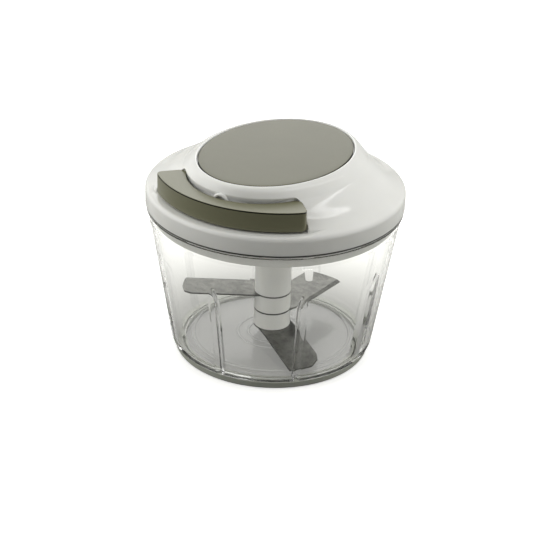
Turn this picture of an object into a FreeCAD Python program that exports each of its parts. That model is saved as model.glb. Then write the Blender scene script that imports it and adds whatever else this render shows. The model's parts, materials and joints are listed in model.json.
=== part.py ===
"""Pull-string food chopper, modelled as its separate pieces.

The origin is the centre of the face that the bowl stands on, and +Z is up. The pull handle lies
on the -Y side and is pulled out along -Y. All lengths are in millimetres and angles in degrees.
"""
import FreeCAD, Part
import Sketcher
import math
import os
from types import SimpleNamespace

SIZES = {
    # Fits that several pieces share
    "running_clearance": 0.05,  # radial, shaft in its bearing
    "seat_clearance": 0.02,  # radial, piece pressed or moulded into another
    "sliding_clearance": 0.15,  # per side, keyed pieces that push together
    "axial_play": 0.1,  # between a turning face and its thrust face
    "moving_gap": 0.4,  # between faces that pass each other
    # Foot ring of soft plastic
    "foot_ring_set_back": 1.8,  # from the foot of the bowl's wall
    "foot_ring_width": 6.0,
    "foot_ring_height": 3.6,
    "foot_ring_rounding": 1.2,
    "foot_key_set_back": 4.3,  # from the ring's edge to the rib under the bowl that holds it
    "foot_key_width": 1.2,
    "foot_key_depth": 1.6,
    # Clear bowl
    "bowl_floor": 2.4,
    "bowl_wall": 2.2,
    "bowl_base_radius": 57.3,
    "bowl_corner_rise": 3.2,
    "bowl_inner_corner": 2.6,
    "taper_drop": 16.0,  # from the rim to where the wall turns upright
    "bowl_rim_radius": 69.5,
    "bowl_rim_height": 96.0,
    "flange_drop": 8.0,  # from the rim
    "flange_thickness": 1.3,
    "flange_reach": 2.1,
    "floor_ring_radius": 45.0,
    "floor_ring_width": 2.2,
    "floor_ring_rise": 0.5,
    "centre_ring_radius": 19.4,
    "inner_ring_radius": 13.5,
    "bowl_boss_radius": 6.0,
    "bowl_boss_height": 2.2,
    "pin_radius": 2.5,
    "pin_top": 26.8,
    "pin_seat_depth": 3.6,
    # Baffles pressed into the bowl's wall
    "baffle_count": 8,
    "baffle_depth": 4.3,
    "baffle_top": 62.5,
    "baffle_shoulder": 50.0,
    "groove_width": 5.6,
    "groove_skin": 1.7,
    "lug_count": 4,
    "lug_angle": 45.0,
    "lug_width": 4.8,
    "lug_length": 7.2,
    "lug_reach": 1.5,
    # Lid shell
    "lid_wall": 2.2,
    "rim_clearance": 0.3,
    "seal_thickness": 1.0,
    "seal_inset": 0.3,
    "brim_rounding": 2.2,
    "brim_rise": 4.4,
    "brim_width": 8.5,
    "dome_low_rise": 4.0,
    "dome_low_end_step": 4.1,  # how far the oval draws in at its ends from the one below
    "dome_low_side_step": 6.3,
    "dome_mid_rise": 9.0,
    "dome_mid_end_step": 2.8,
    "dome_mid_side_step": 8.4,
    "dome_high_rise": 12.4,
    "dome_high_end_step": 2.1,
    "dome_high_side_step": 4.8,
    "dome_height": 15.2,
    "dome_top_end_step": 1.5,
    "dome_top_side_step": 2.5,
    "dome_rim_rounding": 0.9,
    "panel_margin": 2.0,
    "panel_thickness": 2.0,
    "panel_rounding": 0.5,
    "panel_clearance": 0.15,
    "panel_inset": 0.2,
    "roof_thickness": 2.0,
    # Lid under-plate
    "web_drop": 10.0,  # from the bowl's rim to the web's underside
    "web_thickness": 2.2,
    "base_ring_drop": 5.8,  # below the web
    "base_ring_gap": 0.5,
    "lid_screw_count": 4,
    "lid_screw_set_back": 11.5,  # from the dome's foot
    "lid_screw_angle": 45.0,
    "lid_screw_radius": 1.4,
    "lid_screw_length": 9.0,
    "screw_head_radius": 2.9,
    "screw_head_height": 1.8,
    "screw_boss_radius": 3.6,
    # Pull handle and its recess
    "handle_set_back": 5.0,  # from the lid's edge
    "handle_half_angle": 45.0,
    "handle_depth": 8.5,  # in the middle
    "handle_inner_radius": 38.5,
    "handle_height": 11.2,
    "handle_wall": 2.0,
    "handle_ceiling": 1.8,
    "handle_end_rounding": 2.4,
    "handle_top_rounding": 1.2,
    "handle_cover_thickness": 1.6,
    "handle_screw_angle": 30.0,
    "handle_screw_set_back": 7.0,
    "recess_rise": 0.7,  # recess floor above the brim's corner
    "recess_gap": 2.0,
    "recess_end_angle": 1.3,  # past each end of the handle
    "recess_skin": 2.0,
    "handle_gap": 0.9,
    # Cord, guide and knot
    "cord_radius": 1.0,
    "cord_rise": 7.2,  # above the handle's underside
    "cord_bend_radius": 10.0,
    "cord_joint_gap": 0.1,
    "cord_hole_clearance": 0.3,
    "guide_lift": 1.2,  # guide's centre above the cord
    "guide_bore": 3.2,
    "guide_body_radius": 4.3,
    "guide_lip_radius": 5.0,
    "guide_lip_thickness": 1.8,
    "guide_proud": 1.2,  # of the recess wall
    "guide_length": 7.0,
    "knot_radius": 1.9,
    # Reel
    "winding_radius": 20.0,
    "winding_turns": 3,
    "winding_pitch": 2.42,
    "lay_gap": 0.1,
    "drum_wall": 2.9,
    "reel_flange_radius": 27.0,
    "reel_flange": 1.5,
    "reel_groove": 11.2,
    "axle_radius": 3.5,
    "axle_seat_depth": 3.4,
    "axle_boss_radius": 8.0,
    "axle_boss_gap": 0.3,
    "axle_slot_width": 0.9,
    "reel_hub_radius": 6.6,
    "reel_hub_drop": 1.5,
    "clip_thickness": 0.8,
    "clip_radius": 5.6,
    "clip_groove_depth": 0.9,
    "reel_screw_angle": 115.0,
    "reel_screw_radius": 0.9,
    "reel_screw_length": 8.0,
    "reel_screw_head_radius": 1.8,
    "reel_screw_head_height": 0.8,
    # Mainspring
    "spring_thickness": 0.4,
    "spring_turns": 8,
    "spring_edge_gap": 0.8,
    "spring_wall_gap": 0.3,
    # One-way clutch
    "tooth_count": 12,
    "tooth_tip_radius": 21.0,
    "tooth_depth": 2.5,
    "tooth_face_angle": 42.0,  # from the radius, so that it faces the pawl squarely
    "tooth_land_angle": 2.0,
    "cup_wall": 3.0,
    "cup_floor": 2.0,
    "pawl_thickness": 3.6,
    "pawl_width": 3.6,
    "pawl_length": 13.0,
    "pawl_overlap": 2.3,  # of the tip on the tooth's face
    "pawl_tip_gap": 0.25,
    "pawl_pin_radius": 1.4,
    "leaf_thickness": 0.35,
    "leaf_gap": 0.3,
    "leaf_post_radius": 1.3,
    # Drive hub
    "hub_neck_radius": 12.0,
    "hub_neck_drop": 5.8,  # below the web
    "collar_rise": 1.8,
    "collar_wall": 2.4,
    "collar_drop": 3.6,  # below the web
    "bush_wall": 1.9,
    "washer_thickness": 0.6,
    "washer_width": 4.5,
    "hub_clip_thickness": 0.9,
    "hub_clip_width": 2.2,
    "hub_clip_groove": 0.8,
    "socket_flats": 15.0,
    "socket_depth": 8.8,
    # Blade shaft
    "shaft_radius": 10.4,
    "shaft_bore": 6.0,
    "shaft_bore_bottom": 42.0,
    "shaft_head_height": 8.0,
    "spigot_flats": 11.0,
    "spigot_end_radius": 4.9,
    "bearing_wall": 1.6,
    "bearing_length": 12.0,
    "nut_radius": 8.0,
    "nut_gap": 0.5,
    # Blades
    "blade_thickness": 0.9,
    "bevel_width": 2.4,
    "upper_blade_height": 32.3,
    "upper_blade_azimuth": -61.0,
    "upper_blade_gap": 3.25,  # from its tip to the baffles
    "upper_blade_lead": 11.8,  # cutting edge from the blade's centre line
    "upper_blade_trail": 8.0,
    "middle_blade_height": 21.6,
    "middle_blade_azimuth": 174.0,
    "middle_blade_gap": 0.9,
    "middle_blade_lead": 12.6,
    "middle_blade_trail": 10.4,
    "notch_width": 4.2,
    "notch_set_back": 12.6,  # from the blade's reach
    "notch_slant": 36.0,
    "notch_depth": 8.0,
    "lower_blade_height": 11.1,
    "lower_blade_azimuth": 54.0,
    "lower_blade_gap": 1.45,
    "lower_blade_lead": 9.9,
    "lower_blade_trail": 10.8,
    "lower_blade_bend": 13.0,
    "lower_blade_drop": 4.0,
}


class Dim:
    """A size that keeps its value and the sheet formula that gives it."""

    def __init__(self, value, formula):
        self.value = value
        self.formula = formula

    def __float__(self):
        return float(self.value)

    def __add__(self, other):
        return Dim(self.value + float(other), f"({self.formula} + {formula_of(other)})")

    def __radd__(self, other):
        return Dim(float(other) + self.value, f"({formula_of(other)} + {self.formula})")

    def __sub__(self, other):
        return Dim(self.value - float(other), f"({self.formula} - {formula_of(other)})")

    def __rsub__(self, other):
        return Dim(float(other) - self.value, f"({formula_of(other)} - {self.formula})")

    def __mul__(self, other):
        return Dim(self.value * float(other), f"({self.formula} * {formula_of(other)})")

    def __rmul__(self, other):
        return self * other

    def __truediv__(self, other):
        return Dim(self.value / float(other), f"({self.formula} / {formula_of(other)})")

    def __rtruediv__(self, other):
        return Dim(float(other) / self.value, f"({formula_of(other)} / {self.formula})")

    def __neg__(self):
        return Dim(-self.value, f"(0 - {self.formula})")


def formula_of(size):
    return size.formula if isinstance(size, Dim) else repr(float(size))


def sine(angle):
    return Dim(math.sin(math.radians(float(angle))), f"sin({formula_of(angle)} * 1 deg)")


def cosine(angle):
    return Dim(math.cos(math.radians(float(angle))), f"cos({formula_of(angle)} * 1 deg)")


def root(size):
    return Dim(math.sqrt(float(size)), f"sqrt({formula_of(size)})")


# Radius of a round end over half its width: at exactly 1 the arc's centre is ill-defined
NEARLY_HALF_ROUND = 1.02

doc = FreeCAD.newDocument("chopper")
sheet = doc.addObject("Spreadsheet::Sheet", "Sizes")
for row, (word, number) in enumerate(SIZES.items(), start=1):
    sheet.set(f"A{row}", word)
    sheet.set(f"B{row}", str(number))
    sheet.setAlias(f"B{row}", word)
doc.recompute()

d = SimpleNamespace(**{word: Dim(number, f"Sizes.{word}") for word, number in SIZES.items()})
nodes = []


def keep(piece):
    """Mark a finished sub-part for export under its label."""
    nodes.append(piece)
    return piece


# Helpers for sketches and features


def new_body(name):
    body = doc.addObject("PartDesign::Body", name)
    body.Label = name
    return body


def new_sketch(body, role, height=None):
    """Sketch on one of the body's own origin planes, lifted by height along its normal."""
    plane = next(face for face in body.Origin.OriginFeatures if face.Role == role)
    sketch = body.newObject("Sketcher::SketchObject", f"{body.Name}_sketch")
    sketch.AttachmentSupport = [(plane, "")]
    sketch.MapMode = "FlatFace"
    if height is not None:
        sketch.setExpression("AttachmentOffset.Base.z", formula_of(height))
    return sketch


def arc_centre(start, end, radius):
    """Centre of the arc from start to end, on its left where radius is positive."""
    middle = (start + end) * 0.5
    chord = end - start
    left = FreeCAD.Vector(-chord.y, chord.x, 0)
    left.normalize()
    depth = math.sqrt(max(radius * radius - chord.Length * chord.Length / 4, 0))
    return middle + left * depth * (1 if radius > 0 else -1)


def outline(sketch, corners):
    """Closed loop through corners (x, y) or (x, y, radius), bound to the sheet.

    A radius makes the edge to the next corner an arc, turning left where it is positive.
    """
    count = len(corners)
    points = [FreeCAD.Vector(float(corner[0]), float(corner[1]), 0) for corner in corners]
    ends = []
    for index, corner in enumerate(corners):
        start = points[index]
        end = points[(index + 1) % count]
        if len(corner) == 2:
            edge = sketch.addGeometry(Part.LineSegment(start, end), False)
            ends.append((edge, 1, 2))
            continue
        radius = float(corner[2])
        centre = arc_centre(start, end, radius)
        first, last = (start, end) if radius > 0 else (end, start)
        from_angle = math.atan2(first.y - centre.y, first.x - centre.x)
        to_angle = math.atan2(last.y - centre.y, last.x - centre.x)
        circle = Part.Circle(centre, FreeCAD.Vector(0, 0, 1), abs(radius))
        edge = sketch.addGeometry(Part.ArcOfCircle(circle, from_angle, to_angle), False)
        ends.append((edge, 1, 2) if radius > 0 else (edge, 2, 1))
        bend = corner[2] if radius > 0 else -corner[2]
        tie = sketch.addConstraint(Sketcher.Constraint("Radius", edge, abs(radius)))
        sketch.setExpression(f"Constraints[{tie}]", formula_of(bend))
    for index, (edge, _, far_end) in enumerate(ends):
        next_edge, next_start, _ = ends[(index + 1) % count]
        sketch.addConstraint(Sketcher.Constraint("Coincident", edge, far_end, next_edge, next_start))
    for (edge, start_end, _), corner, point in zip(ends, corners, points):
        for kind, value, size in (("DistanceX", point.x, corner[0]), ("DistanceY", point.y, corner[1])):
            tie = sketch.addConstraint(Sketcher.Constraint(kind, -1, 1, edge, start_end, value))
            sketch.setExpression(f"Constraints[{tie}]", formula_of(size))


def ring(sketch, x, y, radius):
    """Circle bound to the sheet."""
    centre = FreeCAD.Vector(float(x), float(y), 0)
    edge = sketch.addGeometry(Part.Circle(centre, FreeCAD.Vector(0, 0, 1), float(radius)), False)
    for kind, value, size in (("DistanceX", centre.x, x), ("DistanceY", centre.y, y)):
        tie = sketch.addConstraint(Sketcher.Constraint(kind, -1, 1, edge, 3, value))
        sketch.setExpression(f"Constraints[{tie}]", formula_of(size))
    tie = sketch.addConstraint(Sketcher.Constraint("Radius", edge, float(radius)))
    sketch.setExpression(f"Constraints[{tie}]", formula_of(radius))


def hexagon(sketch, flats, first=0):
    """Hexagon about the origin, given across its flats, with its first corner at an angle."""
    corner = flats / root(3)
    angles = [first + 60 * index for index in range(6)]
    outline(sketch, [(corner * cosine(angle), corner * sine(angle)) for angle in angles])


def feature(body, kind, sketch, **sizes):
    """Add a sketch-based feature whose sizes are bound to the sheet."""
    made = body.newObject(f"PartDesign::{kind}", f"{body.Name}_{kind.lower()}")
    made.Profile = sketch
    for word, size in sizes.items():
        if isinstance(size, (bool, str)):
            setattr(made, word, size)
        else:
            made.setExpression(word, formula_of(size))
    doc.recompute()
    return made


def turned(name, *loops):
    """Body of revolution about Z from loops of (radius, height) corners."""
    body = new_body(name)
    sketch = new_sketch(body, "XZ_Plane")
    for loop in loops:
        outline(sketch, loop)
    made = body.newObject("PartDesign::Revolution", f"{name}_turning")
    made.Profile = sketch
    made.ReferenceAxis = (sketch, ["V_Axis"])
    made.Angle = 360
    doc.recompute()
    return body


def polar(body, originals, count):
    """Repeat features evenly about the body's own Z axis."""
    pattern = body.newObject("PartDesign::PolarPattern", f"{body.Name}_pattern")
    pattern.Originals = originals
    axis = next(line for line in body.Origin.OriginFeatures if line.Role == "Z_Axis")
    pattern.Axis = (axis, [""])
    pattern.Angle = 360
    pattern.setExpression("Occurrences", formula_of(count))
    body.Tip = pattern
    doc.recompute()
    return pattern


def pocket_of(body, sketch, depth, upwards=False):
    """Pocket along the sketch's normal, which has to take material away."""
    before = body.Shape.Volume
    made = feature(body, "Pocket", sketch, Length=depth, Reversed=upwards)
    if body.Shape.Volume > before - 1e-3:
        raise RuntimeError(f"{body.Name}: a pocket cuts nothing")
    return made


def cylinder(name, radius, height, bottom, x=0, y=0):
    """Upright cylinder, by radius, height and the height of its lower face."""
    made = doc.addObject("Part::Cylinder", name)
    made.setExpression("Radius", formula_of(radius))
    made.setExpression("Height", formula_of(height))
    place(made, x, y, bottom)
    return made


def place(piece, x=0, y=0, z=0):
    """Bind a piece's position to the sheet."""
    for axis, size in (("x", x), ("y", y), ("z", z)):
        piece.setExpression(f"Placement.Base.{axis}", formula_of(size))
    return piece


def turn(piece, angle, axis=(0, 0, 1)):
    """Bind a piece's rotation to the sheet."""
    piece.Placement = FreeCAD.Placement(
        FreeCAD.Vector(0, 0, 0), FreeCAD.Rotation(FreeCAD.Vector(*axis), float(angle)))
    if isinstance(angle, Dim):
        piece.setExpression("Placement.Rotation.Angle", formula_of(angle))
    return piece


def cut(name, base, tool):
    made = doc.addObject("Part::Cut", name)
    made.Label = name
    made.Base = base
    made.Tool = tool
    return made


def fuse(name, pieces):
    made = doc.addObject("Part::MultiFuse", name)
    made.Label = name
    made.Shapes = pieces
    return made


def common(name, pieces):
    made = doc.addObject("Part::MultiCommon", name)
    made.Label = name
    made.Shapes = pieces
    return made


def group(name, pieces):
    """Identical pieces as separate solids of one sub-part."""
    made = doc.addObject("Part::Compound", name)
    made.Label = name
    made.Links = pieces
    return made


def edges_at(shape, height, radius=None):
    """Names of the edges that lie flat at a height, and at a distance from Z if one is given."""
    names = []
    for index, edge in enumerate(shape.Edges, start=1):
        box = edge.BoundBox
        if box.ZLength > 1e-4 or abs(box.Center.z - float(height)) > 1e-3:
            continue
        if radius is not None:
            middle = edge.valueAt((edge.FirstParameter + edge.LastParameter) / 2)
            if abs(math.hypot(middle.x, middle.y) - float(radius)) > 1e-2:
                continue
        names.append(f"Edge{index}")
    return names


def rounded(body, names, radius):
    base = body.Tip
    made = body.newObject("PartDesign::Fillet", f"{body.Name}_rounding")
    made.Base = (base, names)
    made.setExpression("Radius", formula_of(radius))
    body.Tip = made
    doc.recompute()
    return made


# Heights and radii that several pieces share

bowl_underside = d.foot_ring_height
floor_height = bowl_underside + d.bowl_floor
boss_top = floor_height + d.bowl_boss_height
foot_ring_radius = d.bowl_base_radius - d.foot_ring_set_back
foot_key_radius = foot_ring_radius - d.foot_key_set_back
lid_radius = d.bowl_rim_radius + d.rim_clearance + d.lid_wall
dome_foot_radius = lid_radius - d.brim_width
taper_top = d.bowl_rim_height - d.taper_drop
flange_top = d.bowl_rim_height - d.flange_drop
skirt_bottom = flange_top + d.seal_thickness
brim_corner = d.bowl_rim_height + d.moving_gap + d.lid_wall
dome_foot = brim_corner + d.brim_rise
dome_top = dome_foot + d.dome_height
panel_top = dome_top - d.panel_inset
panel_seat = panel_top - d.panel_thickness
roof_underside = panel_seat - d.roof_thickness

web_height = d.bowl_rim_height - d.web_drop
hub_neck_bottom = web_height - d.hub_neck_drop
collar_bottom = web_height - d.collar_drop
web_top = web_height + d.web_thickness
collar_top = web_top + d.collar_rise
hub_floor = collar_top + d.washer_thickness + d.axial_play
cup_inside = hub_floor + d.cup_floor
pawl_bottom = cup_inside + d.moving_gap + d.axial_play
pawl_top = pawl_bottom + d.pawl_thickness
reel_bottom = pawl_top + d.moving_gap
groove_bottom = reel_bottom + d.reel_flange
groove_top = groove_bottom + d.reel_groove
reel_top = groove_top + d.reel_flange
axle_boss_bottom = reel_top + d.axle_boss_gap

handle_radius = lid_radius - d.handle_set_back
handle_inner_face = handle_radius - d.handle_depth
inner_arc_offset = handle_inner_face - d.handle_inner_radius
guide_front = handle_inner_face - d.recess_gap + d.guide_proud
recess_floor = brim_corner + d.recess_rise
handle_bottom = recess_floor + d.handle_gap
handle_top = handle_bottom + d.handle_height
cord_height = handle_bottom + d.cord_rise
guide_height = cord_height + d.guide_lift
drum_radius = d.winding_radius - d.cord_radius - d.lay_gap
drum_bore = drum_radius - d.drum_wall


# Bowl


def wall_radius(height):
    """Outer radius of the bowl's tapered wall at a height."""
    knee = bowl_underside + d.bowl_corner_rise
    slope = (d.bowl_rim_radius - d.bowl_base_radius) / (taper_top - knee)
    return d.bowl_base_radius + (height - knee) * slope


def floor_ridge(radius, top, slant):
    """Corners of a low ridge round the floor, from its outer to its inner foot."""
    return [
        (radius + slant * 2, floor_height),
        (radius + slant, top),
        (radius - slant, top),
        (radius - slant * 2, floor_height),
    ]


def radial_quad(sketch, near, far, near_half, far_half):
    """Four-sided outline across the -Y radius, from a near to a far distance from the axis."""
    outline(sketch, [
        (-near_half, -near), (-far_half, -far), (far_half, -far), (near_half, -near)])


def make_bowl():
    knee = bowl_underside + d.bowl_corner_rise
    flange_radius = d.bowl_rim_radius + d.flange_reach
    inner_rim = d.bowl_rim_radius - d.bowl_wall
    key_in = foot_key_radius - d.foot_key_width / 2
    key_out = foot_key_radius + d.foot_key_width / 2
    key_bottom = bowl_underside - d.foot_key_depth
    corner_top = floor_height + d.bowl_inner_corner
    corner_radius = wall_radius(corner_top) - d.bowl_wall
    ring_in = d.floor_ring_radius - d.floor_ring_width / 2
    ring_out = d.floor_ring_radius + d.floor_ring_width / 2
    ring_top = floor_height + d.floor_ring_rise
    slant = d.floor_ring_rise
    pin_seat = d.pin_radius + d.seat_clearance
    body = turned("bowl", [
        (0, bowl_underside),
        (key_in, bowl_underside),
        (key_in, key_bottom),
        (key_out, key_bottom),
        (key_out, bowl_underside),
        (foot_ring_radius - d.foot_ring_rounding / 2, bowl_underside, d.bowl_corner_rise * 1.6),
        (d.bowl_base_radius, knee),
        (d.bowl_rim_radius, taper_top),
        (d.bowl_rim_radius, flange_top - d.flange_thickness),
        (flange_radius, flange_top - d.flange_thickness),
        (flange_radius, flange_top),
        (d.bowl_rim_radius, flange_top),
        (d.bowl_rim_radius, d.bowl_rim_height),
        (inner_rim, d.bowl_rim_height),
        (inner_rim, taper_top),
        (corner_radius, corner_top, -d.bowl_inner_corner * 1.2),
        (corner_radius - d.bowl_inner_corner, floor_height),
        (ring_out, floor_height),
        (ring_out - slant, ring_top),
        (ring_in + slant, ring_top),
        (ring_in, floor_height),
        *floor_ridge(d.centre_ring_radius, ring_top, slant),
        *floor_ridge(d.inner_ring_radius, ring_top, slant),
        (d.bowl_boss_radius, floor_height),
        (d.bowl_boss_radius, boss_top),
        (pin_seat, boss_top),
        (pin_seat, boss_top - d.pin_seat_depth),
        (0, boss_top - d.pin_seat_depth),
    ])

    # One baffle: a ridge on the inside with a sloped, pointed top
    half = d.groove_width / 2 + d.groove_skin
    ridge_tip = d.groove_skin
    low = floor_height - d.bowl_floor / 2
    sections = []
    for height, depth, grown in ((low, d.baffle_depth, 1), (d.baffle_shoulder, d.baffle_depth, 1),
                                 (d.baffle_top, -d.bowl_wall / 2, 0.5)):
        sketch = new_sketch(body, "XY_Plane", height)
        outer = wall_radius(height) - d.bowl_wall * 0.4
        inner = wall_radius(height) - d.bowl_wall - depth
        if grown == 1:
            radial_quad(sketch, inner, outer, ridge_tip, half)
        else:
            radial_quad(sketch, inner, outer, ridge_tip * 0.5, ridge_tip * 0.6)
        sections.append(sketch)
    ridge = body.newObject("PartDesign::AdditiveLoft", "bowl_ridge")
    ridge.Profile = sections[0]
    ridge.Sections = sections[1:]
    ridge.Ruled = True
    doc.recompute()
    polar(body, [ridge], d.baffle_count)

    # The groove behind each baffle, open to the outside
    depth = d.bowl_wall + d.baffle_depth - d.groove_skin
    sections = []
    for height, deep, width in (
            (bowl_underside - d.foot_key_depth / 4, depth, d.groove_width),
            (d.baffle_shoulder, depth, d.groove_width),
            (d.baffle_top, -0.05 * d.bowl_wall, 0.1 * d.groove_width)):
        sketch = new_sketch(body, "XY_Plane", height)
        surface = wall_radius(height)
        radial_quad(sketch, surface - deep, surface + d.bowl_wall / 2, width * 0.12, width * 0.6)
        sections.append(sketch)
    groove = body.newObject("PartDesign::SubtractiveLoft", "bowl_groove")
    groove.Profile = sections[0]
    groove.Sections = sections[1:]
    groove.Ruled = True
    doc.recompute()
    polar(body, [groove], d.baffle_count)

    # Lugs under the flange
    lug_top = flange_top - d.flange_thickness
    sketch = new_sketch(body, "XY_Plane", lug_top - d.lug_length)
    middle = d.lug_angle
    inner = d.bowl_rim_radius - d.bowl_wall / 2
    outer = d.bowl_rim_radius + d.lug_reach
    side = d.lug_width / 2
    corners = []
    for along, across in ((inner, -side), (outer, -side), (outer, side), (inner, side)):
        corners.append((along * cosine(middle) - across * sine(middle),
                        along * sine(middle) + across * cosine(middle)))
    outline(sketch, corners)
    lug = feature(body, "Pad", sketch, Length=d.lug_length)
    polar(body, [lug], d.lug_count)
    return keep(body)


def make_foot_ring():
    outer = foot_ring_radius
    inner = outer - d.foot_ring_width
    soft = d.foot_ring_rounding
    key_in = foot_key_radius - d.foot_key_width / 2 - d.seat_clearance
    key_out = foot_key_radius + d.foot_key_width / 2 + d.seat_clearance
    key_bottom = bowl_underside - d.foot_key_depth - d.seat_clearance
    return keep(turned("foot_ring", [
        (inner, 0),
        (outer - soft, 0, soft),
        (outer, soft),
        (outer, bowl_underside),
        (key_out, bowl_underside),
        (key_out, key_bottom),
        (key_in, key_bottom),
        (key_in, bowl_underside),
        (inner, bowl_underside),
    ]))


def make_bowl_pin():
    bottom = boss_top - d.pin_seat_depth
    chamfer = d.pin_radius / 4
    return keep(turned("bowl_pin", [
        (0, bottom),
        (d.pin_radius, bottom),
        (d.pin_radius, d.pin_top - chamfer),
        (d.pin_radius - chamfer, d.pin_top),
        (0, d.pin_top),
    ]))


# Lid shell, panel, seal and under-plate


def oval(name, length, width, height):
    """Ellipse with its long half-axis along Y."""
    made = doc.addObject("Part::Ellipse", name)
    made.MajorRadius = float(length)
    made.MinorRadius = float(width)
    made.setExpression("MajorRadius", formula_of(length))
    made.setExpression("MinorRadius", formula_of(width))
    turn(made, 90)
    made.setExpression("Placement.Base.z", formula_of(height))
    return made


def loft(name, sections):
    made = doc.addObject("Part::Loft", name)
    made.Sections = sections
    made.Solid = True
    made.Ruled = False
    return made


def prism(name, base, height):
    """Solid raised from a flat wire."""
    made = doc.addObject("Part::Extrusion", name)
    made.Base = base
    made.DirMode = "Custom"
    made.Dir = FreeCAD.Vector(0, 0, 1)
    made.Solid = True
    made.setExpression("LengthFwd", formula_of(height))
    return made


def sector(name, radius, half_angle, bottom, height):
    """Slice of a cylinder, centred on -Y."""
    made = cylinder(name, radius, height, bottom)
    made.setExpression("Angle", formula_of(half_angle * 2))
    made.Placement.Rotation = FreeCAD.Rotation(FreeCAD.Vector(0, 0, 1), float(270 - half_angle))
    made.setExpression("Placement.Rotation.Angle", formula_of(270 - half_angle))
    return made


def crescent(name, outer, half_angle, inner, bottom, height):
    """Slice between an arc about the lid's axis and the handle's own inner arc."""
    base = sector(f"{name}_slice", outer, half_angle, bottom, height)
    hollow = cylinder(f"{name}_hollow", inner, height * 3, bottom - height, 0, -inner_arc_offset)
    return cut(name, base, hollow)


def rounded_oval(name, length, width, bottom, rounding):
    """Low oval plug whose upper edge is rounded in three flats."""
    steps = ((0, 0), (0.65, 0.3), (1, 1))
    sections = [oval(f"{name}_{index}", length - rounding * inset, width - rounding * inset,
                     bottom + rounding * rise)
                for index, (rise, inset) in enumerate(steps)]
    made = loft(name, sections)
    made.Ruled = True
    return made


def dome_ovals():
    """Name, rise above the dome's foot, half-length and half-width of each oval of the dome."""
    length = dome_foot_radius
    width = dome_foot_radius
    ovals = [("foot", 0, length, width)]
    for word, rise, end_step, side_step in (
            ("low", d.dome_low_rise, d.dome_low_end_step, d.dome_low_side_step),
            ("mid", d.dome_mid_rise, d.dome_mid_end_step, d.dome_mid_side_step),
            ("high", d.dome_high_rise, d.dome_high_end_step, d.dome_high_side_step),
            ("top", d.dome_height - d.dome_rim_rounding, d.dome_top_end_step, d.dome_top_side_step)):
        length = length - end_step
        width = width - side_step
        ovals.append((word, rise, length, width))
    return ovals


def panel_oval():
    """Half-length and half-width of the plate let into the dome's top."""
    _, _, length, width = dome_ovals()[-1]
    return length - d.panel_margin, width - d.panel_margin


def dome_sections(name, inset, drop):
    """Ovals from the dome's foot to its top, drawn in by an inset and lowered by a drop."""
    return [oval(f"{name}_{word}", length - inset, width - inset, dome_foot + rise - drop)
            for word, rise, length, width in dome_ovals()]


def screw_places():
    """Positions of the lid screws, as a list of x and y."""
    circle = dome_foot_radius - d.lid_screw_set_back
    places = []
    for index in range(int(SIZES["lid_screw_count"])):
        angle = d.lid_screw_angle + index * 360 / d.lid_screw_count
        places.append((circle * cosine(angle), circle * sine(angle)))
    return places


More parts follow.
